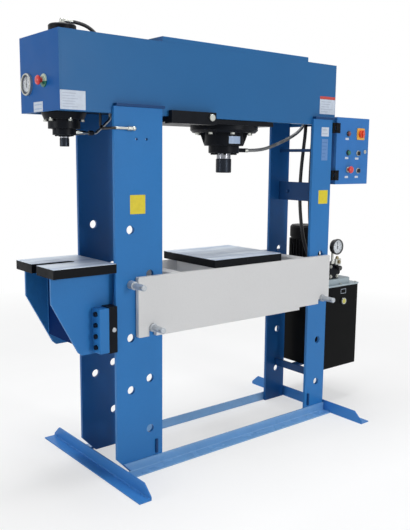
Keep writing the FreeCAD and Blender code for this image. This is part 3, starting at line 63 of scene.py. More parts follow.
def at(x, y, z):
    return Vector((BEAM_LEFT + x * MM, BEAM_FACE + y * MM, z * MM))


def middle(node):
    low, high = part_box(node)
    return (low + high) / 2.0


# camera, as solved from the photograph
CAMERA_AT = (-1350.8, -2619.6, 1468.0)
CAMERA_YAW = 39.05
CAMERA_DIP = 8.71
CAMERA_ROLL = 0.55
FOCAL_PX = 688.49
IMAGE_H = 530.0
SENSOR = 36.0

# hose routes, point by point, as in the part
TOP_ROUTE = [(141, 185, 2058), (201, 185, 2058), (264, 184, 2036), (316, 183, 1982),
             (350, 184, 1905), (361, 185, 1830), (361, 185, 1760)]
MAIN_ROUTE = [(1190, 185, 1519), (1262, 185, 1519), (1350, 182, 1530), (1436, 176, 1560),
              (1520, 168, 1592), (1590, 160, 1632), (1634, 154, 1684), (1650, 150, 1740)]
FRONT_ROUTE = [(1660, 118, 1740), (1660, 118, 1650), (1650, 115, 1535), (1641, 112, 1400),
               (1640, 111, 1260), (1646, 110, 1120), (1662, 109, 1010), (1690, 108, 930),
               (1728, 107, 874), (1770, 106, 834)]
REAR_ROUTE = [(1676, 190, 1740), (1676, 190, 1650), (1658, 188, 1530), (1637, 184, 1390),
              (1628, 178, 1250), (1634, 168, 1110), (1652, 156, 990), (1684, 144, 900),
              (1724, 136, 842), (1770, 132, 802)]
# hoses fixed at both ends to the frame: route, diameter in millimetres, length in metres
HOSES = {
    "side_cylinder_hose": (TOP_ROUTE, 16.0, 0.429),
    "pressure_hose": (FRONT_ROUTE, 20.0, 0.942),
    "return_hose": (REAR_ROUTE, 20.0, 0.983),
}

# middles of the controls on the cabinet's door and of the sight glass, as X and Z
LAMP = (1806.0, 1621.0)
SWITCH = (1913.0, 1622.0)
START = (1808.0, 1514.0)
MODE = (1898.0, 1512.0)
STATION = (1902.0, 1412.0)
DOOR_STOP = (1814.0, 1418.0)
SIGHT = (1878.0, 630.0)
# clear room between the relief valve's knob and the valve body over it
KNOB_ROOM = 2.0
CARD_THICK = 0.5
# middle of the stop button on the beam's end, as Y and Z
BEAM_STOP = (137.0, 1792.0)
# right upright's front face: its middle in X and its plane in Y
RIGHT_BAR_X = 1611.0
BAR_FACE = -16.0

# directions a flat piece can face: normal, then its own across and up
FRONT = (Vector((0, -1, 0)), Vector((1, 0, 0)), Vector((0, 0, 1)))
LEFT = (Vector((-1, 0, 0)), Vector((0, -1, 0)), Vector((0, 0, 1)))


# ---------------------------------------------------------------- materials
def tone(r, g, b):
    """A screen colour, 0 to 255, as linear light."""
    def channel(v):
        v /= 255.0
        return v / 12.92 if v <= 0.04045 else ((v + 0.055) / 1.055) ** 2.4
    return (channel(r), channel(g), channel(b), 1.0)


def shade(colour, factor):
    return tuple(min(1.0, c * factor) for c in colour[:3]) + (1.0,)


class Finish:
    """One material's node tree, with the few kinds of node that the finishes use."""

    def __init__(self, name):
        self.material = bpy.data.materials.new(name)
        self.material.use_nodes = True
        self.tree = self.material.node_tree
        self.tree.nodes.clear()
        self.bsdf = self.tree.nodes.new("ShaderNodeBsdfPrincipled")
        self.out = self.tree.nodes.new("ShaderNodeOutputMaterial")
        self.join(self.bsdf.outputs[0], self.out.inputs[0])
        self.place = self.tree.nodes.new("ShaderNodeTexCoord").outputs["Object"]
        self.rounded = None

    def join(self, a, b):
        self.tree.links.new(a, b)

    def set(self, **values):
        for key, value in values.items():
            socket = self.bsdf.inputs[key.replace("_", " ")]
            if hasattr(value, "is_linked"):
                self.join(value, socket)
            else:
                socket.default_value = value

    def noise(self, scale, detail=3.0, stretch=(1, 1, 1), rough=0.5):
        mapping = self.tree.nodes.new("ShaderNodeMapping")
        mapping.inputs["Scale"].default_value = stretch
        self.join(self.place, mapping.inputs[0])
        node = self.tree.nodes.new("ShaderNodeTexNoise")
        node.inputs["Scale"].default_value = scale
        node.inputs["Detail"].default_value = detail
        node.inputs["Roughness"].default_value = rough
        self.join(mapping.outputs[0], node.inputs["Vector"])
        return node.outputs["Fac"]

    def ramp(self, factor, low, high, a, b):
        node = self.tree.nodes.new("ShaderNodeValToRGB")
        node.color_ramp.elements[0].position = low
        node.color_ramp.elements[1].position = high
        node.color_ramp.elements[0].color = a
        node.color_ramp.elements[1].color = b
        self.join(factor, node.inputs[0])
        return node.outputs[0]

    def span(self, factor, a, b, low=0.3, high=0.7):
        node = self.tree.nodes.new("ShaderNodeMapRange")
        self.join(factor, node.inputs["Value"])
        node.inputs["From Min"].default_value = low
        node.inputs["From Max"].default_value = high
        node.inputs["To Min"].default_value = a
        node.inputs["To Max"].default_value = b
        return node.outputs[0]

    def mix(self, factor, a, b):
        node = self.tree.nodes.new("ShaderNodeMix")
        node.data_type = "RGBA"
        self.join(factor, node.inputs["Factor"])
        for value, key in ((a, "A"), (b, "B")):
            socket = [s for s in node.inputs if s.name == key and s.type == "RGBA"][0]
            if hasattr(value, "is_linked"):
                self.join(value, socket)
            else:
                socket.default_value = value
        return [s for s in node.outputs if s.type == "RGBA"][0]

    def times(self, a, b):
        node = self.tree.nodes.new("ShaderNodeMath")
        node.operation = "MULTIPLY"
        node.use_clamp = True
        for value, socket in ((a, node.inputs[0]), (b, node.inputs[1])):
            if hasattr(value, "is_linked"):
                self.join(value, socket)
            else:
                socket.default_value = value
        return node.outputs[0]

    def round_edges(self, radius):
        """Softens sharp edges in the shading, as a real edge's small radius does."""
        node = self.tree.nodes.new("ShaderNodeBevel")
        node.samples = 4
        node.inputs["Radius"].default_value = radius
        self.rounded = node.outputs[0]
        self.join(self.rounded, self.bsdf.inputs["Normal"])

    def edges(self, radius, gain):
        """Near 1 close to a sharp edge, 0 on a flat."""
        bevel = self.tree.nodes.new("ShaderNodeBevel")
        bevel.samples = 4
        bevel.inputs["Radius"].default_value = radius
        plain = self.tree.nodes.new("ShaderNodeNewGeometry")
        dot = self.tree.nodes.new("ShaderNodeVectorMath")
        dot.operation = "DOT_PRODUCT"
        self.join(bevel.outputs[0], dot.inputs[0])
        self.join(plain.outputs["Normal"], dot.inputs[1])
        return self.span(dot.outputs["Value"], gain, 0.0, 0.72, 0.995)

    def bump(self, height, strength, distance=0.001):
        node = self.tree.nodes.new("ShaderNodeBump")
        node.inputs["Strength"].default_value = strength
        node.inputs["Distance"].default_value = distance
        self.join(height, node.inputs["Height"])
        if self.rounded is not None:
            self.join(self.rounded, node.inputs["Normal"])
        self.join(node.outputs[0], self.bsdf.inputs["Normal"])


def enamel(name, colour, rough=0.36, coat=0.05, edge_wear_and_highlight=0.30, cloud=0.06, gloss=0.2):
    """Sprayed enamel: faint clouding, orange peel, thin bright edges that are partly rubbed wear
    and partly painted highlight, and settled dust.
    """
    f = Finish(name)
    f.round_edges(0.0012)
    clouds = f.noise(2.3, 4.0)
    base = f.ramp(clouds, 0.3, 0.7, shade(colour, 1 - cloud), shade(colour, 1 + cloud))
    specks = f.noise(95.0, 5.0, rough=0.7)
    base = f.mix(f.span(specks, 0.0, 0.16, 0.52, 0.74), base, shade(colour, 0.72))
    # edges lean towards a paler copy of the paint: partly rubbed wear, partly painted highlight
    lighter_edges = f.times(f.edges(0.0024, edge_wear_and_highlight), f.span(f.noise(38.0, 4.0), 0.2, 1.0, 0.35, 0.65))
    base = f.mix(lighter_edges, base, shade(colour, 1.9))
    f.set(Base_Color=base, Roughness=f.span(f.noise(7.0, 5.0), rough - 0.06, rough + 0.10))
    f.set(Coat_Weight=coat, Coat_Roughness=0.18, Specular_IOR_Level=gloss)
    f.bump(f.noise(310.0, 2.0), 0.09, 0.0006)
    return f.material


def casting(name, colour, rough=0.5, grain=170.0, strength=0.25, metallic=0.0):
    """Black machine paint or oxide over a cast or sawn skin."""
    f = Finish(name)
    f.round_edges(0.0012)
    patch = f.noise(14.0, 5.0, rough=0.65)
    base = f.ramp(patch, 0.32, 0.72, shade(colour, 0.75), shade(colour, 1.45))
    lighter_edges = f.times(f.edges(0.002, 0.25), f.span(f.noise(60.0, 4.0), 0.1, 1.0, 0.4, 0.6))
    base = f.mix(lighter_edges, base, tone(150, 155, 162))
    f.set(Base_Color=base, Roughness=f.span(patch, rough - 0.12, rough + 0.12), Metallic=metallic)
    f.set(Specular_IOR_Level=0.1)
    f.bump(f.noise(grain, 4.0, rough=0.6), strength, 0.0008)
    return f.material


def steel(name, colour, rough=0.28, stretch=(1, 1, 1), line=220.0, strength=0.1, stain=0.25,
          metallic=1.0):
    """Bare steel with tool lines along one way and faint stains."""
    f = Finish(name)
    f.round_edges(0.0010)
    lines = f.noise(line, 3.0, stretch)
    stains = f.noise(9.0, 6.0, rough=0.7)
    base = f.ramp(lines, 0.25, 0.75, shade(colour, 0.84), shade(colour, 1.12))
    base = f.mix(f.span(stains, 0.0, stain, 0.5, 0.72), base, tone(92, 84, 74))
    f.set(Base_Color=base, Metallic=metallic)
    f.set(Roughness=f.span(f.noise(24.0, 5.0, stretch), rough - 0.08, rough + 0.14))
    f.bump(lines, strength, 0.0004)
    return f.material


def ground_plate(name):
    """Ground table top: pale steel with bands from the grinder, oil film and small scuffs; its
    blue-white tint and the white streaks along the lines are painted sheen.
    """
    f = Finish(name)
    f.round_edges(0.0015)
    bands = f.noise(7.5, 3.0, (0.35, 6.0, 1.0))
    lines = f.noise(180.0, 3.0, (0.12, 4.0, 1.0))
    film = f.noise(5.0, 6.0, rough=0.65)
    # blue-white bands: grinder bands in a tint that is painted sheen
    base = f.ramp(bands, 0.34, 0.66, tone(172, 189, 214), tone(228, 240, 252))
    base = f.mix(f.span(film, 0.0, 0.3, 0.5, 0.75), base, tone(110, 124, 148))
    # white streaks along the grinder lines: painted sheen
    base = f.mix(f.span(lines, 0.0, 0.35, 0.45, 0.75), base, tone(232, 238, 246))
    f.set(Base_Color=base, Metallic=0.25, Roughness=f.span(film, 0.3, 0.55))
    f.bump(lines, 0.12, 0.0004)
    return f.material


def plastic(name, colour, rough=0.3, coat=0.3):
    """Moulded plastic with a fine grain."""
    f = Finish(name)
    f.round_edges(0.0006)
    base = f.ramp(f.noise(30.0, 3.0), 0.3, 0.7, shade(colour, 0.93), shade(colour, 1.07))
    f.set(Base_Color=base, Roughness=f.span(f.noise(90.0, 3.0), rough - 0.05, rough + 0.08))
    f.set(Coat_Weight=coat, Coat_Roughness=0.12)
    f.bump(f.noise(900.0, 2.0), 0.05, 0.0002)
    return f.material


def hose_rubber(name, dark, pale):
    """Smooth hose cover with a faint wrap pattern and a bloom of dust."""
    f = Finish(name)
    wrap = f.noise(520.0, 2.0)
    dust = f.noise(26.0, 5.0, rough=0.7)
    base = f.ramp(dust, 0.35, 0.75, dark, pale)
    f.set(Base_Color=base, Roughness=f.span(dust, 0.34, 0.6), Specular_IOR_Level=0.5)
    f.bump(wrap, 0.18, 0.0004)
    return f.material


def lens(name, colour):
    """Clear glass that lets the dial show through."""
    f = Finish(name)
    f.set(Base_Color=colour, Roughness=0.04, Alpha=0.16, Specular_IOR_Level=0.8)
    return f.material


def printed(name, colour):
    """Printed film or card: even colour, faint mottling."""
    f = Finish(name)
    base = f.ramp(f.noise(55.0, 4.0), 0.35, 0.65, shade(colour, 0.95), shade(colour, 1.04))
    f.set(Base_Color=base, Roughness=f.span(f.noise(150.0, 3.0), 0.37, 0.55))
    return f.material


BLUE = enamel("frame_enamel", tone(46, 120, 187))
# upright fittings in a darker copy of the frame blue: painted shade, as the ledges and ties sit in
# shade
FITTING_SHADE_BLUE = enamel("fitting_shade_enamel", tone(18, 64, 114), edge_wear_and_highlight=0.2)
# rear bars in a darker copy of the frame blue: painted shade behind the front bars
REAR_SHADE_BLUE = enamel("rear_bar_shade_enamel", tone(34, 98, 162))
RAIL_BLUE = enamel("rail_enamel", tone(114, 166, 216), rough=0.25, coat=1.0, edge_wear_and_highlight=0.2)
BEAM_BLUE = enamel("beam_enamel", tone(40, 104, 160), cloud=0.03)
# beam's left end face in a darker, flatter copy of the beam blue: painted shade on that side
END_SHADE_BLUE = enamel("beam_end_shade_enamel", tone(22, 92, 164), coat=0.0, cloud=0.03, gloss=0.1)
CABINET_BLUE = enamel("cabinet_enamel", tone(55, 122, 194), rough=0.42, edge_wear_and_highlight=0.2)
# cabinet case in a darker copy of the door blue: painted shade
CASE_SHADE_BLUE = enamel("case_shade_enamel", tone(36, 98, 166), rough=0.42, edge_wear_and_highlight=0.2)
FOOT_BLUE = enamel("foot_enamel", tone(62, 130, 200), edge_wear_and_highlight=0.2)
# near-black blue for the bracket's inside faces: painted shade under the side table
SHADE_BLUE = enamel("web_shade_enamel", tone(10, 40, 92), rough=0.6, coat=0.0, edge_wear_and_highlight=0.2, gloss=0.02)
PANEL_GREY = enamel("bed_enamel", tone(219, 219, 219), rough=0.45, edge_wear_and_highlight=0.0, cloud=0.02)
LID_GREY = enamel("lid_enamel", tone(172, 186, 192), rough=0.42)
TANK_BLACK = enamel("tank_enamel", tone(8, 9, 10), rough=0.40, coat=0.0, edge_wear_and_highlight=0.5, cloud=0.2,
                    gloss=0.06)
CAST_BLACK = casting("cylinder_black", tone(14, 17, 23), rough=0.42, metallic=0.1)
MOTOR_BLACK = casting("motor_black", tone(10, 10, 13), rough=0.5)
OXIDE = casting("oxide_black", tone(5, 8, 13), rough=0.5, grain=90.0, strength=0.4)
HEAD_STEEL = steel("ram_head_steel", tone(40, 44, 51), rough=0.34, line=160.0)
BRASS = steel("stem_metal", tone(150, 140, 112), rough=0.3)
BRIGHT = steel("bright_steel", tone(176, 180, 184), rough=0.26)
PIN_STEEL = steel("pin_steel", tone(186, 192, 198), rough=0.42, stretch=(1, 0.1, 1), stain=0.4,
                  metallic=0.55)
CHROME = steel("chromed_rod", tone(132, 134, 140), rough=0.3, strength=0.03, stain=0.2)
ZINC = steel("zinc_plate", tone(186, 188, 182), rough=0.34, line=300.0)
TABLE_TOP_SHEEN = ground_plate("ground_table_sheen")
RUBBER = hose_rubber("hose_cover", tone(14, 14, 16), tone(48, 48, 50))
# main hose cover lightened to grey: painted sheen
SHEEN_GREY_RUBBER = hose_rubber("grey_hose_cover_sheen", tone(88, 89, 90), tone(148, 149, 150))
BLACK_PLASTIC = plastic("black_plastic", tone(26, 27, 29))
RED_PLASTIC = plastic("red_plastic", tone(214, 46, 42))
ORANGE_PLASTIC = plastic("orange_plastic", tone(226, 72, 34))
STOP_RING = plastic("pale_ring", tone(206, 226, 204))
GREEN_PLASTIC = plastic("green_plastic", tone(20, 110, 84))
YELLOW_PLASTIC = plastic("yellow_plastic", tone(240, 178, 62))
DARK_RED = plastic("dark_red_lens", tone(112, 30, 44), rough=0.18, coat=0.8)
OIL_YELLOW = plastic("oil_sight", tone(196, 190, 60), rough=0.15, coat=0.8)
WHITE_FILM = printed("white_film", tone(206, 216, 230))
GREY_INK = printed("grey_ink", tone(180, 191, 209))
BLUE_FILM = printed("pale_blue_film", tone(168, 190, 220))
LONG_FILM = printed("long_card_film", tone(96, 140, 196))
FAINT_INK = printed("faint_ink", tone(78, 124, 184))
YELLOW_FILM = printed("yellow_film", tone(226, 206, 40))
RED_FILM = printed("red_film", tone(196, 70, 62))
BLACK_INK = printed("black_ink", tone(24, 24, 26))
# dark blue-grey ring inside the beam dial's bezel: painted shade
GAUGE_SHADE = plastic("gauge_shade_ring", tone(40, 56, 84))
DIAL_WHITE = printed("dial_card", tone(232, 236, 240))
GLASS = lens("gauge_glass", tone(235, 242, 248))

NODE_FINISH = {
    "beam_box": BEAM_BLUE, "beam_top_hood": BEAM_BLUE, "left_upright_bars": BLUE,
    "right_upright_bars": BLUE, "upright_fittings": FITTING_SHADE_BLUE, "base_angles": FOOT_BLUE,
    "beam_inner_blocks": CAST_BLACK, "side_cylinder_barrel": CAST_BLACK,
    "side_cylinder_bolts": ZINC, "side_cylinder_gland": CAST_BLACK,
    "side_cylinder_cap": CAST_BLACK, "side_ram": CHROME, "side_ram_head": HEAD_STEEL,
    "main_cylinder_barrel": CAST_BLACK, "main_carriage_bolts": ZINC,
    "main_cylinder_gland": CAST_BLACK, "main_cylinder_cap": CAST_BLACK, "main_ram": CHROME,
    "main_piston_seal": RUBBER, "main_ram_head": HEAD_STEEL, "main_carriage": CAST_BLACK,
    "carriage_wheels_left": BRIGHT, "carriage_wheels_right": BRIGHT,
    "bed_front_plate": PANEL_GREY, "bed_rear_plate": PANEL_GREY, "bed_cross_beams": PANEL_GREY,
    "bed_table_plates": OXIDE, "side_table_plate": OXIDE, "side_table_bracket": BLUE,
    "guide_blocks": CAST_BLACK, "guide_block_bolts": HEAD_STEEL, "guide_wheels": BRIGHT,
    "bed_pin_left": PIN_STEEL, "bed_pin_right": PIN_STEEL, "side_table_pin": PIN_STEEL,
    "cabinet_case": CASE_SHADE_BLUE, "cabinet_door": CABINET_BLUE, "door_control_rings": ZINC,
    "main_switch_knob": ORANGE_PLASTIC, "mode_selector": BLACK_PLASTIC,
    "station_selector": BLACK_PLASTIC, "start_button": GREEN_PLASTIC,
    "cabinet_stop_button": RED_PLASTIC, "door_lock": ZINC, "beam_gauge": ZINC,
    "beam_gauge_needle": BLACK_INK, "beam_stop_button": RED_PLASTIC, "tank_shell": TANK_BLACK,
    "tank_lid": LID_GREY, "pump_motor": MOTOR_BLACK, "valve_block": CAST_BLACK,
    "tank_gauge": BLACK_PLASTIC, "tank_gauge_needle": BLACK_INK,
    "relief_valve_knob": BLACK_PLASTIC, "cylinder_pipes": ZINC, "side_cylinder_hose": RUBBER,
    "main_cylinder_hose": RUBBER, "pressure_hose": RUBBER, "return_hose": RUBBER,
}


def finish_nodes():
    for name, node in NODES.items():
        node.data.materials.clear()
        node.data.materials.append(NODE_FINISH[name])
        for face in node.data.polygons:
            face.material_index = 0


def repaint(node, material, test):
    """Give the faces of a CAD node that pass a test another finish."""
    mesh = NODES[node].data
    mesh.materials.append(material)
    slot = len(mesh.materials) - 1
    for face in mesh.polygons:
        if test(face.center, face.normal):
            face.material_index = slot


def near(x, z, r):
    """A test for faces within a radius of an axis along Y."""
    spot = at(x, 0, z)
    return lambda c, n: (c.x - spot.x) ** 2 + (c.z - spot.z) ** 2 < (r * MM) ** 2


def two_tone_controls():
    """Second finishes on the cabinet's controls and on the beam's stop button."""
    repaint("door_control_rings", YELLOW_PLASTIC, near(*SWITCH, 54))
    repaint("door_control_rings", BLACK_PLASTIC, near(*LAMP, 17))
    repaint("door_control_rings", DARK_RED, near(*LAMP, 12.5))
    repaint("door_control_rings", BLACK_PLASTIC, near(*START, 17))
    stop = at(0, BEAM_STOP[0], BEAM_STOP[1])
    split = stop.z - 0.004

    def in_ring(c):
        return math.hypot(c.y - stop.y, c.z - stop.z) < 0.03

    repaint("beam_gauge", STOP_RING, lambda c, n: in_ring(c) and c.z > split)
    repaint("beam_gauge", GREEN_PLASTIC, lambda c, n: in_ring(c) and c.z <= split)


def two_tone_pump():
    """Second finishes on the tank, the valve block and the pipes' rubber ends."""
    tank_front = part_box("tank_shell")[0].y
    repaint("tank_shell", ZINC, lambda c, n: c.y < tank_front + 0.0089 and near(*SIGHT, 18)(c, n))
    repaint("tank_shell", OIL_YELLOW, near(*SIGHT, 11.6))
    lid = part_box("tank_lid")[1].z
    repaint("valve_block", ZINC, lambda c, n: c.z > lid + 0.0921)
    start = at(226, 0, 0).x
    half = at(0, 150, 0).y
    rear_end = at(262, 0, 0).x
    front_end = at(246, 0, 0).x
    high = at(0, 0, 1600).z
    repaint("cylinder_pipes", RUBBER,
            lambda c, n: start < c.x < rear_end and c.z < high and c.y > half)
    repaint("cylinder_pipes", RUBBER, lambda c, n: start < c.x < front_end and c.y < half)


def two_tone_frame():
    """Second finishes on the tables, the beam, the bars, the bracket, the rails and the hinges; the
    beam's end, the rear bars and the bracket's inside take darker blues as painted shade, and the
    table tops carry painted sheen.
    """
    # table tops take the pale ground finish, whose tint and streaks are painted sheen
    for node in ("bed_table_plates", "side_table_plate"):
        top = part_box(node)[1].z
        repaint(node, TABLE_TOP_SHEEN, lambda c, n, top=top: n.z > 0.3 and c.z > top - 0.004)
    head_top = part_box("main_ram_head")[1].z
    repaint("main_ram", HEAD_STEEL, lambda c, n: c.z < head_top + 0.001)
    # left-facing end faces take the darker blue: painted shade
    repaint("beam_box", END_SHADE_BLUE, lambda c, n: n.x < -0.9 and c.x < BEAM_LEFT + 0.001)
    hinge_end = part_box("cabinet_case")[0].x + 0.031
    case_front = at(0, -1.6, 0).y
    repaint("cabinet_case", OXIDE, lambda c, n: c.x < hinge_end and c.y < case_front)
    door_front = at(0, -20.3, 0).y
    repaint("cabinet_door", OXIDE, lambda c, n: c.y < door_front)
    block_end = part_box("beam_inner_blocks")[1].x - 0.12
    repaint("beam_inner_blocks", ZINC, lambda c, n: c.z < 1.7495 and c.x > block_end)
    half = at(0, 150, 0).y
    # the bars' rear halves take the darker blue: painted shade
    for node in ("left_upright_bars", "right_upright_bars"):
        repaint(node, REAR_SHADE_BLUE, lambda c, n: c.y > half)
    # bracket faces between the gussets take the near-black blue: painted shade
    inside = (at(0, 41, 0).y, at(0, 270, 0).y)
    repaint("side_table_bracket", SHADE_BLUE, lambda c, n: inside[0] < c.y < inside[1])
    rails = (at(330, 0, 0).x, at(1664, 0, 0).x)
    repaint("base_angles", RAIL_BLUE, lambda c, n: rails[0] < c.x < rails[1])


def two_tone_nodes():
    """Nodes that carry more than one finish."""
    two_tone_controls()
    two_tone_pump()
    two_tone_frame()


# ---------------------------------------------------------------- mesh makers
def piece(name, mesh, material, body, smooth=True):
    obj = bpy.data.objects.new(name, mesh)
    bpy.context.scene.collection.objects.link(obj)
    obj.data.materials.append(material)
    if smooth and obj.type == "MESH":
        for face in mesh.polygons:
            face.use_smooth = True
        mesh.set_sharp_from_angle(angle=math.radians(38))
    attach(obj, body)
    return obj


def from_bmesh(name, bm, material, body, smooth=True):
    bmesh.ops.recalc_face_normals(bm, faces=bm.faces)
    mesh = bpy.data.meshes.new(name)
    bm.to_mesh(mesh)
    bm.free()
    return piece(name, mesh, material, body, smooth)


def axes_for(way):
    """A right-handed set of axes whose third is the given way."""
    way = Vector(way).normalized()
    side = Vector((0, 0, 1)) if abs(way.z) < 0.9 else Vector((1, 0, 0))
    across = side.cross(way).normalized()
    return across, way.cross(across), way


def add_lathe(bm, profile, origin, way, steps=40, hollow=False):
    """Revolves (radius, height) pairs, in mm, about an axis: capped, or as a closed ring."""
    u, v, w = axes_for(way)
    rings = []
    for r, h in profile:
        centre = origin + w * (h * MM)
        if r < 1e-6:
            rings.append([bm.verts.new(centre)])
            continue
        ring = []
        for k in range(steps):
            a = 2 * math.pi * k / steps
            ring.append(bm.verts.new(centre + (u * math.cos(a) + v * math.sin(a)) * (r * MM)))
        rings.append(ring)
    joined = list(zip(rings, rings[1:]))
    if hollow:
        joined.append((rings[-1], rings[0]))
    for a, b in joined:
        for k in range(steps):
            n = (k + 1) % steps
            if len(a) == 1 and len(b) == 1:
                continue
            if len(a) == 1:
                bm.faces.new((a[0], b[k], b[n]))
            elif len(b) == 1:
                bm.faces.new((a[k], a[n], b[0]))
            else:
                bm.faces.new((a[k], a[n], b[n], b[k]))
    for ring in (rings[0], rings[-1]):
        if len(ring) > 1 and not hollow:
            bm.faces.new(ring)


def lathe(name, profile, origin, way, material, body, steps=48, hollow=False):
    bm = bmesh.new()
    add_lathe(bm, profile, origin, way, steps, hollow)
    return from_bmesh(name, bm, material, body)


def add_hex(bm, origin, way, r, h, turn=0.0):
    """A hexagon head in mm with the turned chamfer on its outer corners."""
    u, v, w = axes_for(way)
    rings = []
    for radius, height in ((r * 0.93, 0), (r, h * 0.12), (r, h * 0.8), (r * 0.88, h)):
        ring = []
        for k in range(6):
            a = math.pi / 3 * k + turn
            ring.append(bm.verts.new(origin + w * (height * MM)
                                     + (u * math.cos(a) + v * math.sin(a)) * (radius * MM)))
        rings.append(ring)
    for a, b in zip(rings, rings[1:]):
        for k in range(6):
            n = (k + 1) % 6
            bm.faces.new((a[k], a[n], b[n], b[k]))
    bm.faces.new(rings[0])
    bm.faces.new(rings[-1])


def bolts(name, spots, way, r, h, material, body):
    """Hexagon heads on washers at a list of spots."""
    bm = bmesh.new()
    washer = 1.35 * r
    for k, spot in enumerate(spots):
        thick = 0.16 * h
        add_lathe(bm, [(0, 0), (washer, 0), (washer, thick), (0, thick)], spot, way, 28)
        add_hex(bm, spot + Vector(way).normalized() * (thick * MM), way, r, h - thick, 0.35 * k)
    return from_bmesh(name, bm, material, body)


def screws(name, spots, way, r, material, body):
    """Pan-head screws with a round recess in the head."""
    bm = bmesh.new()
    for spot in spots:
        add_lathe(bm, [(r, 0), (r, r * 0.35), (r * 0.8, r * 0.55), (r * 0.34, r * 0.62),
                       (r * 0.26, r * 0.3), (0, r * 0.3)], spot, way, 20)
    return from_bmesh(name, bm, material, body)


def add_plate(bm, centre, facing, w, h, thick, corner, steps=5):
    """A thin plate with round corners, its back on the centre point, in mm."""
    normal, across, up = facing
    outline = []
    for cx, cy, start in ((1, 1, 0), (-1, 1, 90), (-1, -1, 180), (1, -1, 270)):
        for k in range(steps + 1):
            a = math.radians(start + 90.0 * k / steps)
            x = cx * (w / 2 - corner) + corner * math.cos(a)
            y = cy * (h / 2 - corner) + corner * math.sin(a)
            outline.append((x, y))
    rings = []
    for depth, shrink in ((0, 0), (thick * 0.7, 0), (thick, thick * 0.3)):
        ring = []
        for x, y in outline:
            k = 1 - 2 * shrink / min(w, h)
            ring.append(bm.verts.new(centre + (across * x * k + up * y * k + normal * depth) * MM))
        rings.append(ring)
    count = len(outline)
    for a, b in zip(rings, rings[1:]):
        for k in range(count):
            n = (k + 1) % count
            bm.faces.new((a[k], a[n], b[n], b[k]))
    bm.faces.new(rings[0])
    bm.faces.new(rings[-1])


def plate(name, centre, facing, w, h, thick, corner, material, body):
    bm = bmesh.new()
    add_plate(bm, centre, facing, w, h, thick, corner)
    return from_bmesh(name, bm, material, body, smooth=False)


def rules(name, centre, facing, w, rows, pitch, thick, material, body, seed=1):
    """Faint ruled bars on a card, of uneven length, that read as lines and say nothing."""
    _, across, up = facing
    pick = random.Random(seed)
    bm = bmesh.new()
    for k in range(rows):
        length = w * (0.55 + 0.45 * pick.random())
        y = (rows - 1) / 2.0 * pitch - k * pitch
        spot = centre + (across * (-(w - length) / 2) + up * y) * MM
        add_plate(bm, spot, facing, length, thick, 0.15, thick * 0.3, 2)
    return from_bmesh(name, bm, material, body, smooth=False)


def card(name, centre, facing, w, h, material, body, rows=0, ink=None, seed=1):
    """A stuck-on card with nothing on it but, at most, ruled bars."""
    plate(name, centre, facing, w, h, CARD_THICK, 2.0, material, body)
    if rows:
        front = centre + facing[0] * (CARD_THICK * MM)
        rules(name + "_rules", front, facing, w * 0.82, rows, h * 0.84 / rows,
              h * 0.22 / rows, ink, body, seed)


def weld(name, runs, size, material, body, seed=3):
    """Weld beads along straight joints: overlapping ripples with a little wander."""
    pick = random.Random(seed)
    bm = bmesh.new()
    sides = 8
    for a, b in runs:
        u, v, w = axes_for(b - a)
        length = (b - a).length
        steps = max(6, int(length / (size * MM * 0.55)))
        last = None
        for k in range(steps + 1):
            t = k / steps
            ripple = 1.0 + 0.16 * math.sin(k * 2.1) + 0.06 * (pick.random() - 0.5)
            taper = min(1.0, 4.0 * min(t, 1 - t) * steps / 8.0 + 0.35)
            centre = a + w * (length * t)
            ring = []
            for s in range(sides):
                ang = 2 * math.pi * s / sides
                ring.append(bm.verts.new(centre + (u * math.cos(ang) + v * math.sin(ang))
                                         * (size * MM * ripple * taper)))
            if last:
                for s in range(sides):
                    n = (s + 1) % sides
                    bm.faces.new((last[s], last[n], ring[n], ring[s]))
            else:
                bm.faces.new(ring)
            last = ring
        bm.faces.new(last)
    return from_bmesh(name, bm, material, body)


def text(name, words, centre, facing, size, material, body, depth=0.12):
    """Plain figures, set flat on a face."""
    curve = bpy.data.curves.new(name, "FONT")
    curve.body = words
    curve.size = size * MM
    curve.extrude = depth * MM
    curve.align_x = "CENTER"
    curve.align_y = "CENTER"
    obj = bpy.data.objects.new(name, curve)
    bpy.context.scene.collection.objects.link(obj)
    normal, across, up = facing
    turn = Matrix((across, up, normal)).transposed().to_4x4()
    obj.matrix_world = Matrix.Translation(centre) @ turn
    obj.data.materials.append(material)
    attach(obj, body)
    return obj


# ---------------------------------------------------------------- camera, floor and light
def make_camera():
    yaw = math.radians(CAMERA_YAW)
    dip = math.radians(CAMERA_DIP)
    roll = math.radians(CAMERA_ROLL)
    level = Vector((math.sin(yaw), math.cos(yaw), 0))
    right = Vector((math.cos(yaw), -math.sin(yaw), 0))
    ahead = level * math.cos(dip) - Vector((0, 0, 1)) * math.sin(dip)
    up = right.cross(ahead)
    side = right * math.cos(roll) + up * math.sin(roll)
    top = up * math.cos(roll) - right * math.sin(roll)
    camera = bpy.data.cameras.new("camera")
    camera.lens = FOCAL_PX / IMAGE_H * SENSOR
    camera.sensor_width = SENSOR
    camera.clip_end = 60
    obj = bpy.data.objects.new("camera", camera)
    turn = Matrix((side, top, -ahead)).transposed().to_4x4()
    obj.matrix_world = Matrix.Translation(at(*CAMERA_AT)) @ turn
    bpy.context.scene.collection.objects.link(obj)
    bpy.context.scene.camera = obj


def area_light(name, spot, aim, size, power):
    light = bpy.data.lights.new(name, "AREA")
    light.shape = "RECTANGLE"
    light.size, light.size_y = size
    light.energy = power
    obj = bpy.data.objects.new(name, light)
    obj.location = spot
    obj.rotation_euler = (Vector(aim) - Vector(spot)).to_track_quat("-Z", "Y").to_euler()
    bpy.context.scene.collection.objects.link(obj)


FLOOR_NEAR = 2.2
FLOOR_FAR = 4.5
FLOOR_GLOW = 0.55       # share of plain white in the floor that the camera sees near the press
BACKGROUND = (1.0, 1.0, 1.0, 1.0)
WORLD_LIGHT = 0.25
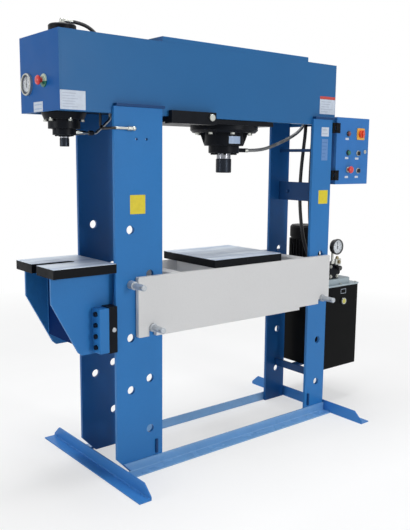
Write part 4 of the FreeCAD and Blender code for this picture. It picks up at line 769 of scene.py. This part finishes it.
# lamps: name, place, aim, width and height in metres, power in watts
LAMPS = [
    ("key", (1.0, -7.0, 2.4), (0, 0, 1.0), (1.2, 2.0), 150),
    ("side", (-7.0, 0.8, 2.2), (0, 0.2, 1.1), (2.0, 2.0), 112),
    ("over", (0, 0.2, 7.0), (0, 0, 0), (3.0, 3.0), 340),
]


def backdrop_rays(tree):
    """1 for the rays that see the plain white background: camera, glossy and transmission."""
    path = tree.nodes.new("ShaderNodeLightPath")
    seen = path.outputs["Is Camera Ray"]
    for ray in ("Is Glossy Ray", "Is Transmission Ray"):
        either = tree.nodes.new("ShaderNodeMath")
        either.operation = "MAXIMUM"
        tree.links.new(seen, either.inputs[0])
        tree.links.new(path.outputs[ray], either.inputs[1])
        seen = either.outputs[0]
    return seen


def floor_finish():
    """Pale floor that runs into the plain background far from the press."""
    f = Finish("floor_paint")
    base = f.ramp(f.noise(1.4, 5.0), 0.3, 0.7, (0.90, 0.90, 0.90, 1), (0.94, 0.94, 0.94, 1))
    f.set(Base_Color=base, Roughness=0.75, Specular_IOR_Level=0.2)
    spot = f.tree.nodes.new("ShaderNodeVectorMath")
    spot.operation = "LENGTH"
    f.join(f.place, spot.inputs[0])
    far = f.span(spot.outputs["Value"], FLOOR_GLOW, 1.0, FLOOR_NEAR, FLOOR_FAR)
    glow = f.tree.nodes.new("ShaderNodeEmission")
    glow.inputs["Color"].default_value = BACKGROUND
    seen = f.times(far, backdrop_rays(f.tree))
    blend = f.tree.nodes.new("ShaderNodeMixShader")
    f.join(seen, blend.inputs[0])
    f.join(f.bsdf.outputs[0], blend.inputs[1])
    f.join(glow.outputs[0], blend.inputs[2])
    f.join(blend.outputs[0], f.out.inputs[0])
    return f.material


def make_floor():
    bm = bmesh.new()
    bmesh.ops.create_circle(bm, cap_ends=True, segments=96, radius=24.0)
    mesh = bpy.data.meshes.new("floor")
    bm.to_mesh(mesh)
    bm.free()
    floor = bpy.data.objects.new("floor", mesh)
    floor.location = (0, 0, -0.0005)
    bpy.context.scene.collection.objects.link(floor)
    mesh.materials.append(floor_finish())


def make_world():
    """Soft grey light on the press, plain white behind it."""
    world = bpy.data.worlds.new("studio")
    bpy.context.scene.world = world
    world.use_nodes = True
    tree = world.node_tree
    tree.nodes.clear()
    soft = tree.nodes.new("ShaderNodeBackground")
    soft.inputs["Color"].default_value = (0.95, 0.97, 1.0, 1)
    soft.inputs["Strength"].default_value = WORLD_LIGHT
    plain = tree.nodes.new("ShaderNodeBackground")
    plain.inputs["Color"].default_value = BACKGROUND
    blend = tree.nodes.new("ShaderNodeMixShader")
    out = tree.nodes.new("ShaderNodeOutputWorld")
    tree.links.new(backdrop_rays(tree), blend.inputs[0])
    tree.links.new(soft.outputs[0], blend.inputs[1])
    tree.links.new(plain.outputs[0], blend.inputs[2])
    tree.links.new(blend.outputs[0], out.inputs[0])
    bpy.context.scene.view_settings.view_transform = "Standard"


def make_stage():
    make_floor()
    make_world()
    for name, spot, aim, size, power in LAMPS:
        area_light(name, spot, aim, size, power)


# ---------------------------------------------------------------- hoses
def hose_curve(name, route, diameter):
    curve = bpy.data.curves.new(name + "_line", "CURVE")
    curve.dimensions = "3D"
    curve.bevel_depth = diameter * MM / 2
    curve.bevel_resolution = 6
    curve.resolution_u = 16
    curve.use_fill_caps = True
    points = [at(*p) for p in route]
    spline = curve.splines.new("NURBS")
    spline.points.add(len(points) - 1)
    for target, point in zip(spline.points, points):
        target.co = (*point, 1.0)
    spline.order_u = 3
    spline.use_endpoint_u = True
    obj = bpy.data.objects.new(name + "_line", curve)
    bpy.context.scene.collection.objects.link(obj)
    return obj


def mesh_of(obj):
    bpy.context.view_layer.update()
    return bpy.data.meshes.new_from_object(obj.evaluated_get(bpy.context.evaluated_depsgraph_get()))


def crimp(name, spot, toward, diameter, body):
    """The ribbed ferrule on one end of a hose."""
    r = diameter / 2
    profile = [(r + 2.2, 0), (r + 2.6, 1), (r + 2.6, 5), (r + 1.6, 6), (r + 2.4, 8), (r + 2.4, 13),
               (r + 1.4, 14), (r + 2.2, 16), (r + 2.2, 22), (r + 0.6, 24), (r + 0.1, 25)]
    return lathe(name, profile, spot, (toward - spot).normalized(), ZINC, body, 32)


def hose(name, route, diameter, body):
    """A hose that keeps its shape, with its two ferrules."""
    obj = hose_curve(name, route, diameter)
    obj.data.materials.append(RUBBER)
    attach(obj, body)
    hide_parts(name)
    first, second, before, last = [at(*route[k]) for k in (0, 1, -2, -1)]
    ends = [crimp(name + "_crimp_a", first, second, diameter, body),
            crimp(name + "_crimp_b", last, before, diameter, body)]


def carriage_hose(name, route, diameter):
    """The hose from the main cylinder to the beam, built as a fixed mesh along its route, with one
    ferrule on the carriage and one on the frame.
    """
    line = hose_curve(name, route, 0.0)
    path = [list(v.co) for v in mesh_of(line).vertices]
    tube = hose_curve(name + "_tube", route, diameter)
    mesh = mesh_of(tube)
    bpy.data.objects.remove(line)
    bpy.data.objects.remove(tube)
    obj = bpy.data.objects.new(name + "_line", mesh)
    bpy.context.scene.collection.objects.link(obj)
    mesh.materials.clear()
    mesh.materials.append(SHEEN_GREY_RUBBER)
    for face in mesh.polygons:
        face.use_smooth = True
    first, second, before, last = [at(*route[k]) for k in (0, 1, -2, -1)]
    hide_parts(name)
    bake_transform(obj)
    ends = [crimp(name + "_crimp_a", first, second, diameter, "carriage"),
            crimp(name + "_crimp_b", last, before, diameter, "frame")]


def make_hoses():
    for name, (route, diameter, length) in HOSES.items():
        hose(name, route, diameter, "frame")
    carriage_hose("main_cylinder_hose", MAIN_ROUTE, 18.0)


# ---------------------------------------------------------------- gauges
def gauge_face(name, centre, facing, r, figures, body):
    """Dial card, scale marks from a loop, figures and a shallow domed glass."""
    normal, across, up = facing
    lathe(name + "_card", [(0, 0), (r, 0), (r, 0.5), (r - 0.6, 0.8), (0, 0.8)], centre, normal,
          DIAL_WHITE, body)
    bm = bmesh.new()
    top = centre + normal * (0.85 * MM)
    marks = 40
    for k in range(marks + 1):
        a = math.radians(225 - 270.0 * k / marks)
        big = k % 5 == 0
        length = r * (0.17 if big else 0.09)
        spot = top + (across * math.cos(a) + up * math.sin(a)) * ((r * 0.93 - length / 2) * MM)
        turned = (normal, across * math.cos(a) + up * math.sin(a),
                  up * math.cos(a) - across * math.sin(a))
        add_plate(bm, spot, turned, length, r * (0.035 if big else 0.018), 0.15, r * 0.005, 2)
    from_bmesh(name + "_marks", bm, BLACK_INK, body, smooth=False)
    for k, figure in enumerate(figures):
        a = math.radians(225 - 270.0 * k / (len(figures) - 1))
        spot = top + (across * math.cos(a) + up * math.sin(a)) * (r * 0.62 * MM) + normal * 0.0002
        text(name + "_figure_%d" % k, figure, spot, facing, r * 0.2, BLACK_INK, body, 0.05)
    dome = [(0, 5.2), (r * 0.5, 4.9), (r * 0.85, 4.2), (r + 0.2, 3.2), (r + 0.2, 2.6),
            (r * 0.85, 3.6), (r * 0.5, 4.3), (0, 4.6)]
    lathe(name + "_glass", dome, centre + normal * (3.2 * MM), normal, GLASS, body)


def make_gauges():
    figures = ["0", "10", "20", "30", "40"]
    face = at(-5, 294, 1786)
    gauge_face("beam_dial", face, LEFT, 31.0, figures, "frame")
    # dark ring inside the bezel: painted shade
    lathe("beam_dial_shade_ring", [(31.6, 0), (40.5, 0), (40.5, 2.2), (33, 1.4), (31.6, 1.0)], face,
          LEFT[0], GAUGE_SHADE, "frame", hollow=True)
    gauge_face("tank_dial", at(1816, 39, 963), FRONT, 39.6, figures, "frame")


# ---------------------------------------------------------------- cards and plain stickers
def door_cards():
    for name, (x, z), left, down in (("lamp", LAMP, 10, 29), ("start", START, 10, 30),
                                     ("mode", MODE, 10, 30), ("stop", DOOR_STOP, 12, 42),
                                     ("station", STATION, 11, 36)):
        plate("card_" + name, at(x - left, -20, z - down), FRONT, 30, 12, 0.6, 2.0, WHITE_FILM,
              "door")


def barrel_card():
    """A card bent round the main cylinder's barrel."""
    barrel = middle("main_cylinder_barrel")
    centre = Vector((barrel.x, barrel.y, 0))
    columns = 14
    bm = bmesh.new()
    rows = []
    for k in range(columns + 1):
        a = math.radians(-116 + 39.0 * k / columns)
        out = Vector((math.cos(a), math.sin(a), 0))
        rows.append([bm.verts.new(centre + out * (r * MM) + Vector((0, 0, z * MM)))
                     for r, z in ((104.05, 1550), (104.5, 1550), (104.5, 1588), (104.05, 1588))])
    for a, b in zip(rows, rows[1:]):
        for k in range(4):
            n = (k + 1) % 4
            bm.faces.new((a[k], a[n], b[n], b[k]))
    bm.faces.new(rows[0])
    bm.faces.new(rows[-1])
    from_bmesh("barrel_card", bm, BLUE_FILM, "carriage")


def tank_card():
    """The thin outline of a card on the tank's front."""
    bm = bmesh.new()
    centre = at(1878, 30, 690)
    for dx, dz, w, h in ((0, 13, 46, 2), (0, -13, 46, 2), (-22, 0, 2, 28), (22, 0, 2, 28)):
        add_plate(bm, centre + Vector((dx * MM, 0, dz * MM)), FRONT, w, h, 0.3, 0.5, 2)
    from_bmesh("tank_card_outline", bm, WHITE_FILM, "frame", smooth=False)


def make_cards():
    card("beam_card_left", at(61, 0, 1707), FRONT, 118, 78, WHITE_FILM, "frame", 6, GREY_INK, 4)
    card("beam_card_right", at(1640, 0, 1763), FRONT, 126, 80, WHITE_FILM, "frame", 5, GREY_INK, 9)
    plate("beam_card_right_band", at(1640, 0, 1811), FRONT, 126, 15, 0.5, 2.0, RED_FILM, "frame")
    card("beam_end_card", at(0, 198, 1686), LEFT, 88, 42, WHITE_FILM, "frame", 2, BLUE_FILM, 2)
    plate("left_marker", at(368, BAR_FACE, 1265), FRONT, 82, 86, 0.4, 3.0, YELLOW_FILM, "frame")
    plate("right_marker", at(RIGHT_BAR_X, BAR_FACE, 1266), FRONT, 76, 76, 0.4, 3.0, YELLOW_FILM,
          "frame")
    card("right_square_card", at(RIGHT_BAR_X, BAR_FACE, 1626), FRONT, 60, 50, WHITE_FILM, "frame",
         2, GREY_INK, 5)
    card("right_long_card", at(RIGHT_BAR_X, BAR_FACE, 1528), FRONT, 50, 118, LONG_FILM, "frame",
         5, FAINT_INK, 6)
    door_cards()
    barrel_card()
    tank_card()


# ---------------------------------------------------------------- welds, bolts and small hardware
def make_welds():
    runs = [(at(x0, y, 6), at(x1, y, 6))
            for x0, x1 in ((322, 504), (1518, 1667)) for y in (-16, 327)]
    weld("weld_bars_to_rails", runs, 3.2, BLUE, "frame", 3)
    runs = [(at(x, y, 7), at(x, y + 58, 7)) for x in (243, 1674) for y in (-76, 329)]
    weld("weld_rails_to_feet", runs, 3.0, BLUE, "frame", 4)
    runs = [(at(x, y, 1667), at(x, y, 1988)) for x in (8, 1697) for y in (0.4, 369.6)]
    weld("weld_beam_ends", runs, 0.9, BEAM_BLUE, "frame", 5)
    runs = [(at(x, y, 965), at(x, y, 662)) for x in (58.5, 71.5) for y in (40, 271)]
    weld("weld_bracket_web", runs, 2.6, BLUE, "side_table", 6)


def sight_glass():
    """Bezel and lens of the oil sight on the tank's front."""
    x, z = SIGHT
    lathe("sight_bezel", [(14.4, 0), (20.5, 0), (20.5, 5), (19, 9.6), (15.6, 9.6), (14.4, 8.4)],
          at(x, 30, z), FRONT[0], ZINC, "frame", hollow=True)
    lathe("sight_lens", [(0, 0), (14.3, 0), (14.3, 0.6), (9, 1.5), (0, 1.8)], at(x, 21, z),
          FRONT[0], OIL_YELLOW, "frame")


def valve_front():
    """Bright valve body with its hexagon plug, in front of the black block and over the knob."""
    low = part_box("relief_valve_knob")[1].z / MM + KNOB_ROOM
    high = 888.0
    centre = (low + high) / 2
    bm = bmesh.new()
    add_plate(bm, at(1846, 61.9, centre), FRONT, 48, high - low, 15, 3)
    from_bmesh("valve_body", bm, ZINC, "frame", smooth=False)
    bolts("valve_body_plugs", [at(1846, 46.9, centre)], (0, -1, 0), 9, 8, BRASS, "frame")
    lathe("valve_body_neck", [(0, 0), (11, 0), (11, 9), (8, 10), (8, 16), (0, 16)],
          at(1838, 55, 887.9), (0, 0, 1), BRASS, "frame", 6)


def tank_bolts():
    """Bolts of the tank's lid and of the motor, and the plugs of the black valve block."""
    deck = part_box("tank_shell")[1].z + 0.009
    spots = []
    for x in (1728, 1866, 2003):
        for y in (44, 416):
            spots.append(Vector((at(x, y, 0).x, at(x, y, 0).y, deck)))
    bolts("lid_bolts", spots, (0, 0, 1), 6.0, 6.0, ZINC, "frame")
    spots = circle_spots(4, 45, 1838, 322, 746, 94)
    bolts("motor_bolts", spots, (0, 0, 1), 6.5, 7.0, ZINC, "frame")
    spots = [at(x, 62, z) for x, z in ((1794, 782), (1794, 842), (1850, 782))]
    bolts("valve_plugs", spots, (0, -1, 0), 8.0, 7.0, ZINC, "frame")


def hinge_screws():
    for name, x, y, body in (("door_hinge_screws", 1718, -24, "door"),
                             ("post_hinge_screws", 1684, -20, "frame")):
        spots = [at(x, y, z + dz) for z in (1386, 1650) for dz in (-18, 18)]
        screws(name, spots, (0, -1, 0), 3.6, OXIDE, body)


def circle_spots(count, start, x, y, z, radius):
    """Evenly spaced spots on a level circle, the first at a start angle in degrees."""
    turns = [math.radians(start + 360.0 / count * k) for k in range(count)]
    return [at(x + radius * math.cos(a), y + radius * math.sin(a), z) for a in turns]


def socket_screws(name, spots, profile, steps, body):
    """Round heads with a socket, hanging from a face that looks down."""
    bm = bmesh.new()
    for spot in spots:
        add_lathe(bm, profile, spot, (0, 0, -1), steps)
    from_bmesh(name, bm, OXIDE, body)


def make_hardware():
    """Bolts, screws and small fittings that the part leaves off."""
    sight_glass()
    valve_front()
    lathe("port_sleeve", [(0, 0), (9, 0), (9.6, 1), (9.6, 28), (9, 30), (0, 30)],
          at(187, 185, 1582), (1, 0, 0), ZINC, "frame", 24)
    tank_bolts()
    hinge_screws()
    socket_screws("gland_screws", circle_spots(8, 10, 1044, 185, 1501, 62),
                  [(7.5, 0), (7.5, 7), (6.8, 7.8), (3.4, 7.8), (3.2, 3.5), (0, 3.5)], 24,
                  "carriage")
    socket_screws("side_gland_screws", circle_spots(6, 15, 115, 185, 1569, 38),
                  [(5.0, 0), (5.0, 4.5), (4.4, 5.2), (2.4, 5.2), (2.2, 2.0), (0, 2.0)], 20, "frame")


def main():
    make_camera()
    make_stage()
    make_hoses()
    finish_nodes()
    two_tone_nodes()
    make_gauges()
    make_cards()
    make_welds()
    make_hardware()


main()
